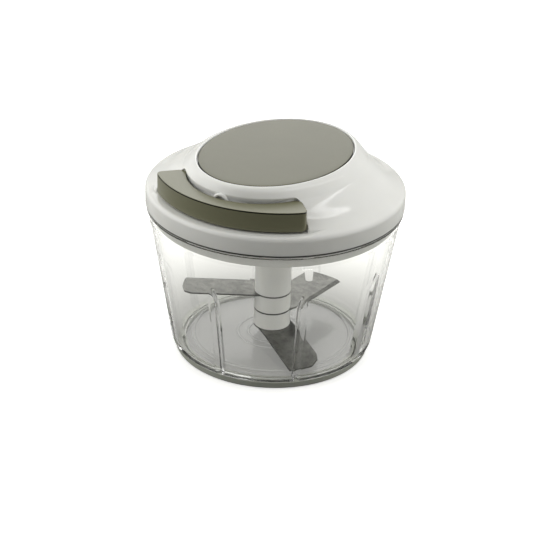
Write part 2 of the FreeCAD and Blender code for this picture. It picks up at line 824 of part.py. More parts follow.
def make_lid_shell():
    slope = d.brim_rise / (lid_radius - dome_foot_radius)
    rounding = d.brim_rounding
    brim = turned("brim_solid", [
        (0, skirt_bottom),
        (lid_radius, skirt_bottom),
        (lid_radius, brim_corner - rounding * 0.6, rounding * 1.3),
        (lid_radius - rounding, brim_corner + rounding * slope),
        (dome_foot_radius, dome_foot),
        (0, dome_foot),
    ])
    dome = loft("dome_solid", dome_sections("dome", 0, 0))
    _, _, top_length, top_width = dome_ovals()[-1]
    rim = rounded_oval("dome_rim", top_length, top_width, dome_top - d.dome_rim_rounding,
                       d.dome_rim_rounding)
    outside = fuse("lid_outside", [brim, dome, rim])

    inner_rim = lid_radius - d.lid_wall
    ceiling = brim_corner - d.lid_wall
    under = turned("brim_hollow", [
        (0, skirt_bottom - d.lid_wall),
        (inner_rim, skirt_bottom - d.lid_wall),
        (inner_rim, ceiling),
        (d.bowl_rim_radius - d.bowl_wall, ceiling),
        (dome_foot_radius - d.lid_wall, dome_foot - d.lid_wall),
        (0, dome_foot - d.lid_wall),
    ])
    under_dome = loft("dome_hollow", dome_sections("hollow", d.lid_wall, d.lid_wall))
    roof_cutoff = cylinder("roof_cutoff", lid_radius, d.dome_height, roof_underside)
    under_roof = cut("dome_hollow_cut", under_dome, roof_cutoff)
    inside = fuse("lid_inside", [under, under_roof])

    # Walls round the handle's recess, the axle's boss and the screw bosses stay solid
    liner = crescent("recess_liner", lid_radius, d.handle_half_angle + d.recess_end_angle * 3,
                     d.handle_inner_radius - d.recess_gap - d.recess_skin,
                     recess_floor - d.recess_skin, d.dome_height * 2)
    axle_boss = cylinder("axle_boss", d.axle_boss_radius, d.dome_height, axle_boss_bottom)
    bosses = [cylinder(f"screw_boss_{index}", d.screw_boss_radius, d.dome_height * 2, web_top, x, y)
              for index, (x, y) in enumerate(screw_places())]
    boss_room = cylinder("boss_room", dome_foot_radius, brim_corner - web_top, web_top)
    kept = common("lid_kept", [outside, fuse("lid_solids", [liner, axle_boss])])
    bossed = common("lid_bosses", [fuse("boss_limits", [outside, boss_room]),
                                   fuse("screw_boss_columns", bosses)])
    hollow = cut("lid_hollow", outside, inside)
    solid = fuse("lid_solid", [hollow, kept, bossed])

    recess = crescent("recess", lid_radius * 1.1, d.handle_half_angle + d.recess_end_angle,
                      d.handle_inner_radius - d.recess_gap, recess_floor, d.dome_height * 2)
    panel_length, panel_width = panel_oval()
    panel_room = prism("panel_room", oval("panel_room_oval", panel_length + d.panel_clearance,
                                          panel_width + d.panel_clearance, panel_seat),
                       d.panel_thickness * 2)
    axle_seat = cylinder("axle_seat", d.axle_radius + d.seat_clearance, d.axle_seat_depth + d.moving_gap,
                         axle_boss_bottom)
    pilots = [cylinder(f"pilot_{index}", d.lid_screw_radius + d.seat_clearance,
                       d.lid_screw_length, web_top, x, y)
              for index, (x, y) in enumerate(screw_places())]
    guide_hole = cylinder("guide_hole", d.guide_body_radius + d.seat_clearance, d.guide_length * 2, 0)
    guide_face = cylinder("guide_face", d.guide_lip_radius + d.sliding_clearance, d.guide_length * 2, 0)
    for tool, front in ((guide_hole, guide_front - d.guide_length * 1.5),
                        (guide_face, guide_front - d.guide_lip_thickness)):
        turn(tool, 90, (1, 0, 0))
        place(tool, 0, -front, guide_height)
    tools = fuse("lid_cuts", [recess, panel_room, axle_seat, guide_hole, guide_face] + pilots)
    shell = cut("lid_shell", solid, tools)
    doc.recompute()
    return keep(shell)


def make_top_panel():
    """Oval plate with a softened upper edge."""
    length, width = panel_oval()
    plate = prism("panel_plate", oval("panel_oval", length, width, panel_seat),
                  d.panel_thickness - d.panel_rounding)
    edge = rounded_oval("panel_edge", length, width, panel_top - d.panel_rounding, d.panel_rounding)
    return keep(fuse("top_panel", [plate, edge]))


def make_lid_seal():
    inner = d.bowl_rim_radius + d.rim_clearance / 2
    outer = d.bowl_rim_radius + d.flange_reach + d.seal_inset / 3
    lip = d.seal_thickness / 4
    return keep(turned("lid_seal", [
        (inner, flange_top),
        (outer - lip, flange_top),
        (outer, flange_top + lip),
        (outer, skirt_bottom - lip),
        (outer - lip, skirt_bottom),
        (inner, skirt_bottom),
    ]))


def make_lid_base():
    """Under-plate: a ring inside the bowl's rim, a web and the collar of the hub's bush."""
    ring_outer = d.bowl_rim_radius - d.bowl_wall - d.base_ring_gap
    ring_inner = ring_outer - d.lid_wall
    ring_bottom = web_height - d.base_ring_drop
    ring_top = d.bowl_rim_height + d.moving_gap
    bush_outer = d.hub_neck_radius + d.running_clearance + d.bush_wall
    collar_in = bush_outer + d.seat_clearance
    collar_out = collar_in + d.collar_wall
    soft = d.lid_wall / 3
    body = turned("lid_base", [
        (collar_in, collar_bottom),
        (collar_out, collar_bottom),
        (collar_out, web_height),
        (ring_inner, web_height),
        (ring_inner, ring_bottom),
        (ring_outer - soft, ring_bottom, soft),
        (ring_outer, ring_bottom + soft),
        (ring_outer, ring_top),
        (ring_inner, ring_top),
        (ring_inner, web_top),
        (collar_out, web_top),
        (collar_out, collar_top),
        (collar_in, collar_top),
    ])
    sketch = new_sketch(body, "XY_Plane", web_top)
    x, y = screw_places()[0]
    ring(sketch, x, y, d.lid_screw_radius + d.sliding_clearance)
    hole = pocket_of(body, sketch, d.web_thickness)
    polar(body, [hole], d.lid_screw_count)
    return keep(body)


def make_screws(name, places, bottom, head_radius, head_height, shank_radius, shank_length):
    """Headed screws pointing up, as separate solids of one sub-part."""
    screws = []
    for index, (x, y) in enumerate(places):
        screw = turned(f"{name}_{index}", [
            (0, 0),
            (head_radius * 0.8, 0),
            (head_radius, head_height * 0.4),
            (head_radius, head_height),
            (shank_radius, head_height),
            (shank_radius, head_height + shank_length - shank_radius),
            (0, head_height + shank_length),
        ])
        place(screw, x, y, bottom)
        screws.append(screw)
    return keep(group(name, screws))


# Pull handle


def crescent_corners(outer, half_angle, inner):
    """Corners of the handle's plan, with its two arcs."""
    offset = inner_arc_offset
    along = offset * cosine(half_angle)
    reach = along + root(along * along - offset * offset + inner * inner)
    side = sine(half_angle)
    front = cosine(half_angle)
    return [
        (-outer * side, -outer * front, outer),
        (outer * side, -outer * front),
        (reach * side, -reach * front, -inner),
        (-reach * side, -reach * front),
    ]


def handle_inset(distance):
    """Corners of the handle's plan, drawn in by a distance."""
    end_degrees = 70  # per radius along the ends, between those of the outer and the inner arc
    angle = d.handle_half_angle - distance / handle_radius * end_degrees
    return crescent_corners(handle_radius - distance, angle, d.handle_inner_radius + distance)


def handle_screw_places():
    circle = handle_radius - d.handle_screw_set_back
    x = circle * sine(d.handle_screw_angle)
    y = -(circle * cosine(d.handle_screw_angle))
    return [(x, y), (-x, y)]


def make_handle_grip():
    body = new_body("handle_grip")
    sketch = new_sketch(body, "XY_Plane", handle_bottom)
    outline(sketch, handle_inset(0))
    body.Tip = feature(body, "Pad", sketch, Length=d.handle_height)
    uprights = [f"Edge{index}" for index, edge in enumerate(body.Shape.Edges, start=1)
                if edge.BoundBox.ZLength > float(d.handle_height) / 2]
    rounded(body, uprights, d.handle_end_rounding)
    rounded(body, edges_at(body.Shape, handle_top), d.handle_top_rounding)
    sketch = new_sketch(body, "XY_Plane", handle_bottom)
    outline(sketch, handle_inset(d.handle_wall))
    pocket_of(body, sketch, d.handle_height - d.handle_ceiling, upwards=True)

    # Bosses for the cover's screws
    sketch = new_sketch(body, "XY_Plane", handle_bottom + d.handle_cover_thickness)
    for x, y in handle_screw_places():
        ring(sketch, x, y, d.lid_screw_radius * 2)
    feature(body, "Pad", sketch, Length=d.handle_height - d.handle_cover_thickness - d.handle_ceiling / 2)
    sketch = new_sketch(body, "XY_Plane", handle_bottom + d.handle_cover_thickness)
    for x, y in handle_screw_places():
        ring(sketch, x, y, d.lid_screw_radius + d.seat_clearance)
    pocket_of(body, sketch, d.handle_height - d.handle_cover_thickness - d.handle_ceiling, upwards=True)

    # The cord's hole through the inner wall
    sketch = new_sketch(body, "XZ_Plane", handle_inner_face + d.handle_wall * 1.2)
    ring(sketch, 0, cord_height, d.cord_radius + d.cord_hole_clearance)
    pocket_of(body, sketch, d.handle_wall * 2)
    return keep(body)


def make_handle_cover():
    body = new_body("handle_cover")
    sketch = new_sketch(body, "XY_Plane", handle_bottom)
    outline(sketch, handle_inset(d.handle_wall + d.sliding_clearance))
    feature(body, "Pad", sketch, Length=d.handle_cover_thickness - d.seat_clearance)
    sketch = new_sketch(body, "XY_Plane", handle_bottom)
    for x, y in handle_screw_places():
        ring(sketch, x, y, d.lid_screw_radius + d.sliding_clearance)
    pocket_of(body, sketch, d.handle_cover_thickness, upwards=True)
    sketch = new_sketch(body, "XY_Plane", handle_bottom)
    for x, y in handle_screw_places():
        ring(sketch, x, y, d.reel_screw_head_radius * 1.3 + d.sliding_clearance)
    pocket_of(body, sketch, d.reel_screw_head_height, upwards=True)
    return keep(body)


# Cord


def cord_corner():
    """Where the straight lead would turn towards the handle, in the guide."""
    return guide_front - d.guide_lip_thickness - d.cord_radius


def tangent_angle():
    """Angle from -Y to the point where the cord leaves the winding."""
    return math.degrees(math.acos(float(d.winding_radius) / float(cord_corner())))


def winding_point(turn_back):
    """Point and direction on the winding, a number of turns back from where the cord leaves."""
    radius = float(d.winding_radius)
    angle = math.radians(-90 + tangent_angle() + 360 * turn_back)
    rise = float(cord_height) - float(d.winding_pitch) * turn_back
    point = FreeCAD.Vector(radius * math.cos(angle), radius * math.sin(angle), rise)
    climb = float(d.winding_pitch) / (2 * math.pi)
    direction = FreeCAD.Vector(radius * math.sin(angle), -radius * math.cos(angle), climb)
    return point, direction.normalize()


def arc_from(start, corner, end):
    """Arc that leaves start towards corner and reaches end coming from it."""
    middle = (start + end) * 0.5
    to_middle = middle - corner
    half_chord = (end - start).Length / 2
    leg = (start - corner).Length
    if to_middle.Length < 1e-9:
        return Part.LineSegment(start, end).toShape()
    radius = leg * half_chord / to_middle.Length
    reach = math.sqrt(leg * leg + radius * radius) - radius
    on_arc = corner + to_middle.normalize() * reach
    return Part.Arc(start, on_arc, end).toShape()


def biarc(start, start_way, end, end_way):
    """Two tangent arcs between points with given directions."""
    chord = end - start
    ways = start_way + end_way
    lean = 2 * (1 - start_way.dot(end_way))
    along = chord.dot(ways)
    reach = (-along + math.sqrt(along * along + lean * chord.dot(chord))) / lean
    first_corner = start + start_way * reach
    second_corner = end - end_way * reach
    middle = (first_corner + second_corner) * 0.5
    return [arc_from(start, first_corner, middle), arc_from(middle, second_corner, end)]


def tube(edges, start, way, radius):
    """Round tube along a smooth path."""
    circle = Part.Wire([Part.Circle(start, way, radius).toShape()])
    shell = Part.BRepOffsetAPI.MakePipeShell(Part.Wire(edges))
    shell.add(circle, False, False)
    shell.build()
    shell.makeSolid()
    return shell.shape()


def from_shape(name, shape):
    """Sub-part whose shape is worked out here from the sheet's sizes."""
    piece = doc.addObject("Part::Feature", name)
    piece.Label = name
    piece.Shape = shape
    return keep(piece)


def least_gap(edges, radius):
    """Least gap between stretches of a tube that lie over a tenth of its length apart."""
    points = []
    for edge in edges:
        points.extend(edge.discretize(Number=24))
    apart = len(points) // 10
    nearest = min((one - other).Length
                  for index, one in enumerate(points) for other in points[index + apart:])
    return nearest - 2 * radius


def report_tube(name, edges, shape, radius):
    """Print a tube's length and how its volume compares with its path."""
    length = sum(edge.Length for edge in edges)
    share = shape.Volume / (math.pi * radius * radius * length)
    print(f"{name}: {length:.1f} mm long, volume is {share:.4f} of section times length")


def make_cord_winding():
    quarters = 4 * SIZES["winding_turns"]
    straight = 2 * float(d.cord_radius)
    first, first_way = winding_point(quarters / 4)
    last, last_way = winding_point(0)
    start = first - first_way * straight
    edges = [Part.LineSegment(start, first).toShape()]
    for index in range(quarters, 0, -1):
        here, here_way = winding_point(index / 4)
        there, there_way = winding_point((index - 1) / 4)
        edges.extend(biarc(here, here_way, there, there_way))
    edges.append(Part.LineSegment(last, last + last_way * straight).toShape())
    shape = tube(edges, start, first_way, float(d.cord_radius))
    report_tube("cord winding", edges, shape, float(d.cord_radius))
    print(f"cord winding: radius {float(d.winding_radius):.1f} mm, "
          f"least gap to itself {least_gap(edges, float(d.cord_radius)):.2f} mm")
    return from_shape("cord_winding", shape)


def make_cord_lead():
    """Cord from the winding through the guide to the knot."""
    leave, _ = winding_point(0)
    corner = FreeCAD.Vector(0, -float(cord_corner()), float(cord_height))
    way = (corner - leave).normalize()
    start = leave + way * (2 * float(d.cord_radius) + float(d.cord_joint_gap))
    onward = FreeCAD.Vector(0, -1, 0)
    turn_angle = way.getAngle(onward)
    leg = float(d.cord_bend_radius) * math.tan(turn_angle / 2)
    bend_start = corner - way * leg
    bend_end = corner + onward * leg
    knot_face = FreeCAD.Vector(0, -float(handle_inner_face + d.handle_wall), float(cord_height))
    edges = [
        Part.LineSegment(start, bend_start).toShape(),
        arc_from(bend_start, corner, bend_end),
        Part.LineSegment(bend_end, knot_face).toShape(),
    ]
    shape = tube(edges, start, way, float(d.cord_radius))
    print(f"cord lead: bend radius {float(d.cord_bend_radius):.1f} mm")
    report_tube("cord lead", edges, shape, float(d.cord_radius))
    return from_shape("cord_lead", shape)


def make_cord_knot():
    """Stop knot behind the handle's inner wall, flattened where it bears."""
    radius = d.knot_radius
    bearing = root(radius * radius - d.cord_radius * d.cord_radius)
    body = turned("cord_knot", [
        (0, 0),
        (d.cord_radius, 0, radius),
        (d.cord_radius, bearing * 2),
        (0, bearing * 2),
    ])
    turn(body, 90, (1, 0, 0))
    place(body, 0, -(handle_inner_face + d.handle_wall), cord_height)
    return keep(body)


def make_cord_guide():
    """Eyelet with a lip outside and a flared bore, built upright and laid along -Y."""
    lip = d.guide_lip_thickness
    bore = d.guide_bore
    soft = lip / 3
    length = d.guide_length
    body = turned("cord_guide", [
        (bore + soft, 0),
        (d.guide_body_radius, 0),
        (d.guide_body_radius, length - lip),
        (d.guide_lip_radius, length - lip),
        (d.guide_lip_radius, length - soft, soft),
        (d.guide_lip_radius - soft, length),
        (bore + soft, length, soft),
        (bore, length - soft),
        (bore, soft, soft),
    ])
    turn(body, 90, (1, 0, 0))
    place(body, 0, -(guide_front - length), guide_height)
    return keep(body)


# Reel, axle and mainspring


def reel_screw_places():
    circle = drum_radius - d.drum_wall / 2
    angle = d.reel_screw_angle
    return [(circle * cosine(angle + 180 * k), circle * sine(angle + 180 * k)) for k in range(2)]


def make_reel_drum():
    bore = d.axle_radius + d.running_clearance
    web_bottom = groove_top - d.reel_flange
    body = turned("reel_drum", [
        (bore, web_bottom),
        (drum_bore, web_bottom),
        (drum_bore, groove_bottom),
        (drum_radius, groove_bottom),
        (drum_radius, groove_top),
        (d.reel_flange_radius, groove_top),
        (d.reel_flange_radius, reel_top),
        (bore, reel_top),
    ])
    sketch = new_sketch(body, "XY_Plane", groove_bottom)
    for x, y in reel_screw_places():
        ring(sketch, x, y, d.reel_screw_radius + d.seat_clearance)
    pocket_of(body, sketch, d.reel_screw_length, upwards=True)

    # Notch that the mainspring's outer end hooks into
    sketch = new_sketch(body, "XY_Plane", groove_bottom)
    low = -(d.axle_slot_width - d.spring_thickness) / 2
    notch_end = drum_bore + d.drum_wall / 2 + d.spring_wall_gap
    outline(sketch, [
        (drum_bore * 0.9, low),
        (notch_end, low),
        (notch_end, low + d.axle_slot_width),
        (drum_bore * 0.9, low + d.axle_slot_width),
    ])
    pocket_of(body, sketch, d.reel_groove - d.reel_flange, upwards=True)

    # Lug on the drum that the cord's inner end is crimped in
    sketch = new_sketch(body, "XY_Plane", groove_bottom)
    angle = -90 + tangent_angle()
    near = drum_radius - d.drum_wall / 2
    far = d.winding_radius + d.cord_radius
    close = d.cord_radius * 2 + d.running_clearance
    thick = close + d.drum_wall
    corners = []
    for along, across in ((near, close), (far, close), (far, thick), (near, thick)):
        corners.append((along * cosine(angle) - across * sine(angle),
                        along * sine(angle) + across * cosine(angle)))
    outline(sketch, corners)
    inner_end = cord_height - d.winding_pitch * d.winding_turns
    feature(body, "Pad", sketch, Length=inner_end + d.cord_radius - groove_bottom)
    return keep(body)


def make_reel_plate():
    """Lower flange with its bearing, the pawl pins' holes and the leaf springs' posts."""
    bore = d.axle_radius + d.running_clearance
    body = turned("reel_plate", [
        (bore, reel_bottom - d.reel_hub_drop),
        (d.reel_hub_radius, reel_bottom - d.reel_hub_drop),
        (d.reel_hub_radius, reel_bottom),
        (d.reel_flange_radius, reel_bottom),
        (d.reel_flange_radius, groove_bottom),
        (bore, groove_bottom),
    ])
    sketch = new_sketch(body, "XY_Plane", reel_bottom)
    for x, y in reel_screw_places():
        ring(sketch, x, y, d.reel_screw_radius + d.sliding_clearance)
    pocket_of(body, sketch, d.reel_flange, upwards=True)
    sketch = new_sketch(body, "XY_Plane", reel_bottom)
    for x, y in reel_screw_places():
        ring(sketch, x, y, d.reel_screw_head_radius + d.sliding_clearance)
    pocket_of(body, sketch, d.reel_screw_head_height, upwards=True)
    sketch = new_sketch(body, "XY_Plane", reel_bottom)
    for side in (1, -1):
        x, y = pawl_frame(d.pawl_length, 0)
        ring(sketch, x * side, y * side, d.pawl_pin_radius + d.seat_clearance)
    pocket_of(body, sketch, d.reel_flange, upwards=True)
    sketch = new_sketch(body, "XY_Plane", pawl_bottom)
    for side in (1, -1):
        x, y = leaf_post()
        ring(sketch, x * side, y * side, d.leaf_post_radius)
    feature(body, "Pad", sketch, Length=reel_bottom - pawl_bottom + d.reel_flange / 2)
    return keep(body)


def make_reel_axle():
    """Steel axle from the roof's boss down, slotted for the spring and grooved for its clip."""
    top = axle_boss_bottom + d.axle_seat_depth
    clip_top = reel_bottom - d.reel_hub_drop - d.axial_play
    clip_bottom = clip_top - d.clip_thickness
    bottom = clip_bottom - d.clip_thickness
    groove = d.axle_radius - d.clip_groove_depth
    body = turned("reel_axle", [
        (0, bottom),
        (d.axle_radius, bottom),
        (d.axle_radius, clip_bottom),
        (groove, clip_bottom),
        (groove, clip_top),
        (d.axle_radius, clip_top),
        (d.axle_radius, top),
        (0, top),
    ])
    slot_bottom = groove_bottom + d.spring_edge_gap
    sketch = new_sketch(body, "XY_Plane", slot_bottom)
    side = d.axle_slot_width / 2
    outline(sketch, [(0, -side), (d.axle_radius * 2, -side), (d.axle_radius * 2, side), (0, side)])
    pocket_of(body, sketch, spring_height(), upwards=True)
    return keep(body)


def make_axle_clip():
    top = reel_bottom - d.reel_hub_drop - d.axial_play
    inner = d.axle_radius - d.clip_groove_depth + d.seat_clearance
    return keep(open_ring("axle_clip", inner, d.clip_radius, top - d.clip_thickness, d.clip_thickness))


def open_ring(name, inner, outer, bottom, thickness):
    """Retaining ring with a gap towards +X."""
    gap = inner * 0.5
    body = turned(name, [
        (inner, bottom), (outer, bottom), (outer, bottom + thickness), (inner, bottom + thickness)])
    sketch = new_sketch(body, "XY_Plane", bottom)
    outline(sketch, [(0, -gap), (outer * 1.2, -gap), (outer * 1.2, gap), (0, gap)])
    pocket_of(body, sketch, thickness, upwards=True)
    return body


def spring_height():
    return d.reel_groove - d.reel_flange - d.spring_edge_gap * 2


def make_mainspring():
    """Flat spiral strip in tangent half-turns, with an end bent into the axle and one into the drum."""
    first = float(d.axle_radius + d.spring_wall_gap)
    last = float(drum_bore - d.spring_wall_gap)
    turns = int(SIZES["spring_turns"])
    half = float(d.spring_thickness) / 2
    pitch = (last - first - 2 * half) / turns
    bottom = float(groove_bottom + d.spring_edge_gap)

    def half_turn(index, offset):
        shift = pitch / 2 if index % 2 else 0
        radius = first + half + pitch / 2 * index + offset
        side = -1 if index % 2 else 1
        start = FreeCAD.Vector(shift + side * radius, 0, bottom)
        middle = FreeCAD.Vector(shift, side * radius, bottom)
        end = FreeCAD.Vector(shift - side * radius, 0, bottom)
        return Part.Arc(start, middle, end).toShape()

    outer = [half_turn(index, half) for index in range(2 * turns)]
    inner = [half_turn(index, -half) for index in range(2 * turns)]
    caps = [
        Part.LineSegment(outer[0].valueAt(outer[0].FirstParameter),
                         inner[0].valueAt(inner[0].FirstParameter)).toShape(),
        Part.LineSegment(outer[-1].valueAt(outer[-1].LastParameter),
                         inner[-1].valueAt(inner[-1].LastParameter)).toShape(),
    ]
    wire = Part.Wire(Part.__sortEdges__(outer + inner + caps))
    print(f"mainspring: {turns} turns, least gap to itself {pitch - 2 * half:.2f} mm")
    tall = float(spring_height())
    thick = 2 * half
    strip = Part.Face(wire).extrude(FreeCAD.Vector(0, 0, tall))
    hook_reach = float(d.drum_wall) / 2
    inner_end = first - float(d.axle_radius) * 0.7
    inner_hook = Part.makeBox(first + thick - inner_end, thick, tall, FreeCAD.Vector(inner_end, -thick, bottom))
    outer_start = first + pitch * turns
    outer_hook = Part.makeBox(float(drum_bore) + hook_reach - outer_start, thick, tall,
                              FreeCAD.Vector(outer_start, 0, bottom))
    return from_shape("mainspring", strip.fuse([inner_hook, outer_hook]).removeSplitter())


# One-way clutch


def tooth_frame(along, back):
    """Point given by its distance along a tooth's face from the tip and back from the face."""
    angle = d.tooth_face_angle
    x = d.tooth_tip_radius + along * cosine(angle) - back * sine(angle)
    y = along * sine(angle) + back * cosine(angle)
    return x, y


def pawl_frame(back, side):
    """Point given by its distance back from the tooth's face and sideways from the pawl's middle."""
    middle = d.pawl_overlap - d.pawl_width / 2
    return tooth_frame(middle + side, back)


def leaf_post():
    """Centre of the post that anchors a leaf spring."""
    side = -(d.pawl_width / 2 + d.leaf_gap + d.leaf_thickness + d.leaf_post_radius)
    return pawl_frame(d.pawl_length, side)


def make_drive_hub():
    """Cup with inner ratchet teeth on a neck with a hexagonal socket."""
    root_radius = d.tooth_tip_radius + d.tooth_depth
    cup_radius = root_radius + d.cup_wall
    cup_top = pawl_top
    groove_high = collar_bottom - d.axial_play
    groove_low = groove_high - d.hub_clip_thickness
    neck = d.hub_neck_radius
    body = turned("drive_hub", [
        (0, hub_neck_bottom),
        (neck, hub_neck_bottom),
        (neck, groove_low),
        (neck - d.hub_clip_groove, groove_low),
        (neck - d.hub_clip_groove, groove_high),
        (neck, groove_high),
        (neck, hub_floor),
        (cup_radius, hub_floor),
        (cup_radius, cup_top),
        (d.tooth_tip_radius, cup_top),
        (d.tooth_tip_radius, cup_inside),
        (0, cup_inside),
    ])
    sketch = new_sketch(body, "XY_Plane", cup_inside)
    face_length = d.tooth_depth / cosine(d.tooth_face_angle) * 0.95
    inside = -d.tooth_depth / 4
    end = 360 / d.tooth_count - d.tooth_land_angle
    reach = d.tooth_tip_radius - d.tooth_depth / 8
    outline(sketch, [
        tooth_frame(inside, 0 * d.tooth_depth),
        tooth_frame(face_length, 0 * d.tooth_depth),
        (reach * cosine(end), reach * sine(end)),
    ])
    space = pocket_of(body, sketch, d.pawl_thickness * 2, upwards=True)
    polar(body, [space], d.tooth_count)
    sketch = new_sketch(body, "XY_Plane", hub_neck_bottom)
    hexagon(sketch, d.socket_flats)
    pocket_of(body, sketch, d.socket_depth, upwards=True)
    return keep(body)


def make_pawl(name, half_turn):
    """Bar with a round eye about its pivot and a square tip against a tooth."""
    body = new_body(name)
    side = d.pawl_width / 2
    sketch = new_sketch(body, "XY_Plane", pawl_bottom)
    outline(sketch, [
        pawl_frame(d.pawl_tip_gap, -side),
        pawl_frame(d.pawl_tip_gap, side),
        pawl_frame(d.pawl_length, side) + (side * NEARLY_HALF_ROUND,),
        pawl_frame(d.pawl_length, -side),
    ])
    feature(body, "Pad", sketch, Length=d.pawl_thickness)
    sketch = new_sketch(body, "XY_Plane", pawl_bottom)
    x, y = pawl_frame(d.pawl_length, 0)
    ring(sketch, x, y, d.pawl_pin_radius + d.running_clearance)
    pocket_of(body, sketch, d.pawl_thickness, upwards=True)
    turn(body, half_turn)
    return keep(body)


def make_pawl_pivots():
    x, y = pawl_frame(d.pawl_length, 0)
    bottom = pawl_bottom - d.axial_play
    height = groove_bottom - bottom - d.axial_play
    pins = [cylinder(f"pivot_{side}", d.pawl_pin_radius, height, bottom, x * turned_side, y * turned_side)
            for side, turned_side in (("a", 1), ("b", -1))]
    return keep(group("pawl_pivots", pins))


def make_pawl_spring(name, half_turn):
    """Leaf between the post and the pawl's inner side."""
    body = new_body(name)
    near = -(d.pawl_width / 2 + d.leaf_gap)
    far = near - d.leaf_thickness
    sketch = new_sketch(body, "XY_Plane", pawl_bottom)
    outline(sketch, [
        pawl_frame(d.pawl_width, near),
        pawl_frame(d.pawl_length, near),
        pawl_frame(d.pawl_length, far),
        pawl_frame(d.pawl_width, far),
    ])
    feature(body, "Pad", sketch, Length=reel_bottom - pawl_bottom)
    turn(body, half_turn)
    return keep(body)


def make_hub_bush():
    inner = d.hub_neck_radius + d.running_clearance
    outer = inner + d.bush_wall
    return keep(turned("hub_bush", [
        (inner, collar_bottom), (outer, collar_bottom), (outer, collar_top), (inner, collar_top)]))


def make_thrust_washer():
    inner = d.hub_neck_radius + d.sliding_clearance
    outer = inner + d.washer_width
    top = collar_top + d.washer_thickness
    return keep(turned("thrust_washer", [
        (inner, collar_top), (outer, collar_top), (outer, top), (inner, top)]))


def make_hub_clip():
    bottom = collar_bottom - d.axial_play - d.hub_clip_thickness + d.seat_clearance
    inner = d.hub_neck_radius - d.hub_clip_groove + d.seat_clearance
    return keep(open_ring("hub_clip", inner, inner + d.hub_clip_width, bottom,
                          d.hub_clip_thickness - 2 * d.seat_clearance))


# Blade shaft


def make_upper_shaft():
    """Shaft with the drive head above and the keyed spigot for blades and spacers below."""
    shoulder = d.upper_blade_height + d.blade_thickness
    head_bottom = hub_neck_bottom - d.moving_gap
    nut_bottom = boss_top + d.nut_gap
    head_flats = d.socket_flats - 2 * d.sliding_clearance
    body = turned("upper_shaft", [
        (0, shoulder),
        (d.shaft_radius, shoulder),
        (d.shaft_radius, head_bottom),
        (0, head_bottom),
    ])
    sketch = new_sketch(body, "XY_Plane", head_bottom)
    hexagon(sketch, head_flats)
    feature(body, "Pad", sketch, Length=d.shaft_head_height)
    sketch = new_sketch(body, "XY_Plane", d.lower_blade_height)
    hexagon(sketch, d.spigot_flats)
    feature(body, "Pad", sketch, Length=shoulder - d.lower_blade_height)
    sketch = new_sketch(body, "XY_Plane", nut_bottom)
    ring(sketch, 0, 0, d.spigot_end_radius)
    feature(body, "Pad", sketch, Length=d.lower_blade_height - nut_bottom)
    sketch = new_sketch(body, "XY_Plane", d.shaft_bore_bottom)
    ring(sketch, 0, 0, d.shaft_bore)
    pocket_of(body, sketch, head_bottom + d.shaft_head_height - d.shaft_bore_bottom, upwards=True)
    sketch = new_sketch(body, "XY_Plane", nut_bottom)
    ring(sketch, 0, 0, d.pin_radius + d.running_clearance + d.bearing_wall + d.seat_clearance)
    pocket_of(body, sketch, d.bearing_length, upwards=True)
    sketch = new_sketch(body, "XY_Plane", nut_bottom)
    ring(sketch, 0, 0, d.pin_radius + d.sliding_clearance)
    pocket_of(body, sketch, d.pin_top + d.axial_play - nut_bottom, upwards=True)
    return keep(body)


def make_spacer(name, bottom, top):
    """Sleeve keyed on the spigot between two blades."""
    body = new_body(name)
    sketch = new_sketch(body, "XY_Plane", bottom)
    ring(sketch, 0, 0, d.shaft_radius)
    hexagon(sketch, d.spigot_flats + 2 * d.sliding_clearance)
    feature(body, "Pad", sketch, Length=top - bottom)
    return keep(body)


def make_shaft_nut():
    bottom = boss_top + d.nut_gap
    inner = d.spigot_end_radius + d.seat_clearance
    soft = d.blade_thickness / 2
    return keep(turned("shaft_nut", [
        (inner, bottom),
        (d.nut_radius - soft, bottom),
        (d.nut_radius, bottom + soft),
        (d.nut_radius, d.lower_blade_height),
        (inner, d.lower_blade_height),
    ]))


def make_bearing_bush():
    bottom = boss_top + d.nut_gap
    inner = d.pin_radius + d.running_clearance
    outer = inner + d.bearing_wall
    top = bottom + d.bearing_length
    return keep(turned("bearing_bush", [(inner, bottom), (outer, bottom), (outer, top), (inner, top)]))


# Blades, drawn pointing along +X with the cutting edge on the -Y side, then turned to their place


def baffle_face(height):
    """Radius of the baffles' inner faces at a height, under which the blades sweep."""
    return wall_radius(height) - d.bowl_wall - d.baffle_depth


def blade_plan(name, corners, bottom, height, azimuth):
    """Plan of a blade as a pad with the disc that the spacers clamp and its keyed hole.

    The hole is drawn turned back, so that it fits the spigot once the blade is at its azimuth.
    """
    body = new_body(name)
    sketch = new_sketch(body, "XY_Plane", bottom)
    outline(sketch, corners)
    feature(body, "Pad", sketch, Length=height)
    sketch = new_sketch(body, "XY_Plane", bottom)
    ring(sketch, 0, 0, d.shaft_radius)
    feature(body, "Pad", sketch, Length=height)
    sketch = new_sketch(body, "XY_Plane", bottom)
    hexagon(sketch, d.spigot_flats + 2 * d.sliding_clearance, 90 - azimuth)
    pocket_of(body, sketch, height, upwards=True)
    return body


def grind(body, lead, start, reach, top):
    """Bevel along the cutting edge."""
    sketch = new_sketch(body, "YZ_Plane", start)
    sink = d.blade_thickness * 0.8
    outline(sketch, [
        (-lead + d.bevel_width, top),
        (-lead - d.bevel_width, top - sink * 2),
        (-lead - d.bevel_width, top),
    ])
    before = body.Shape.Volume
    feature(body, "Pocket", sketch, Length=reach, Reversed=True)
    if body.Shape.Volume > before - 1e-3:
        raise RuntimeError(f"{body.Name}: the bevel cuts nothing")


def aim(body, azimuth):
    """Turn a blade from +X to an azimuth counted from -Y towards +X."""
    turn(body, azimuth - 90)
    return keep(body)


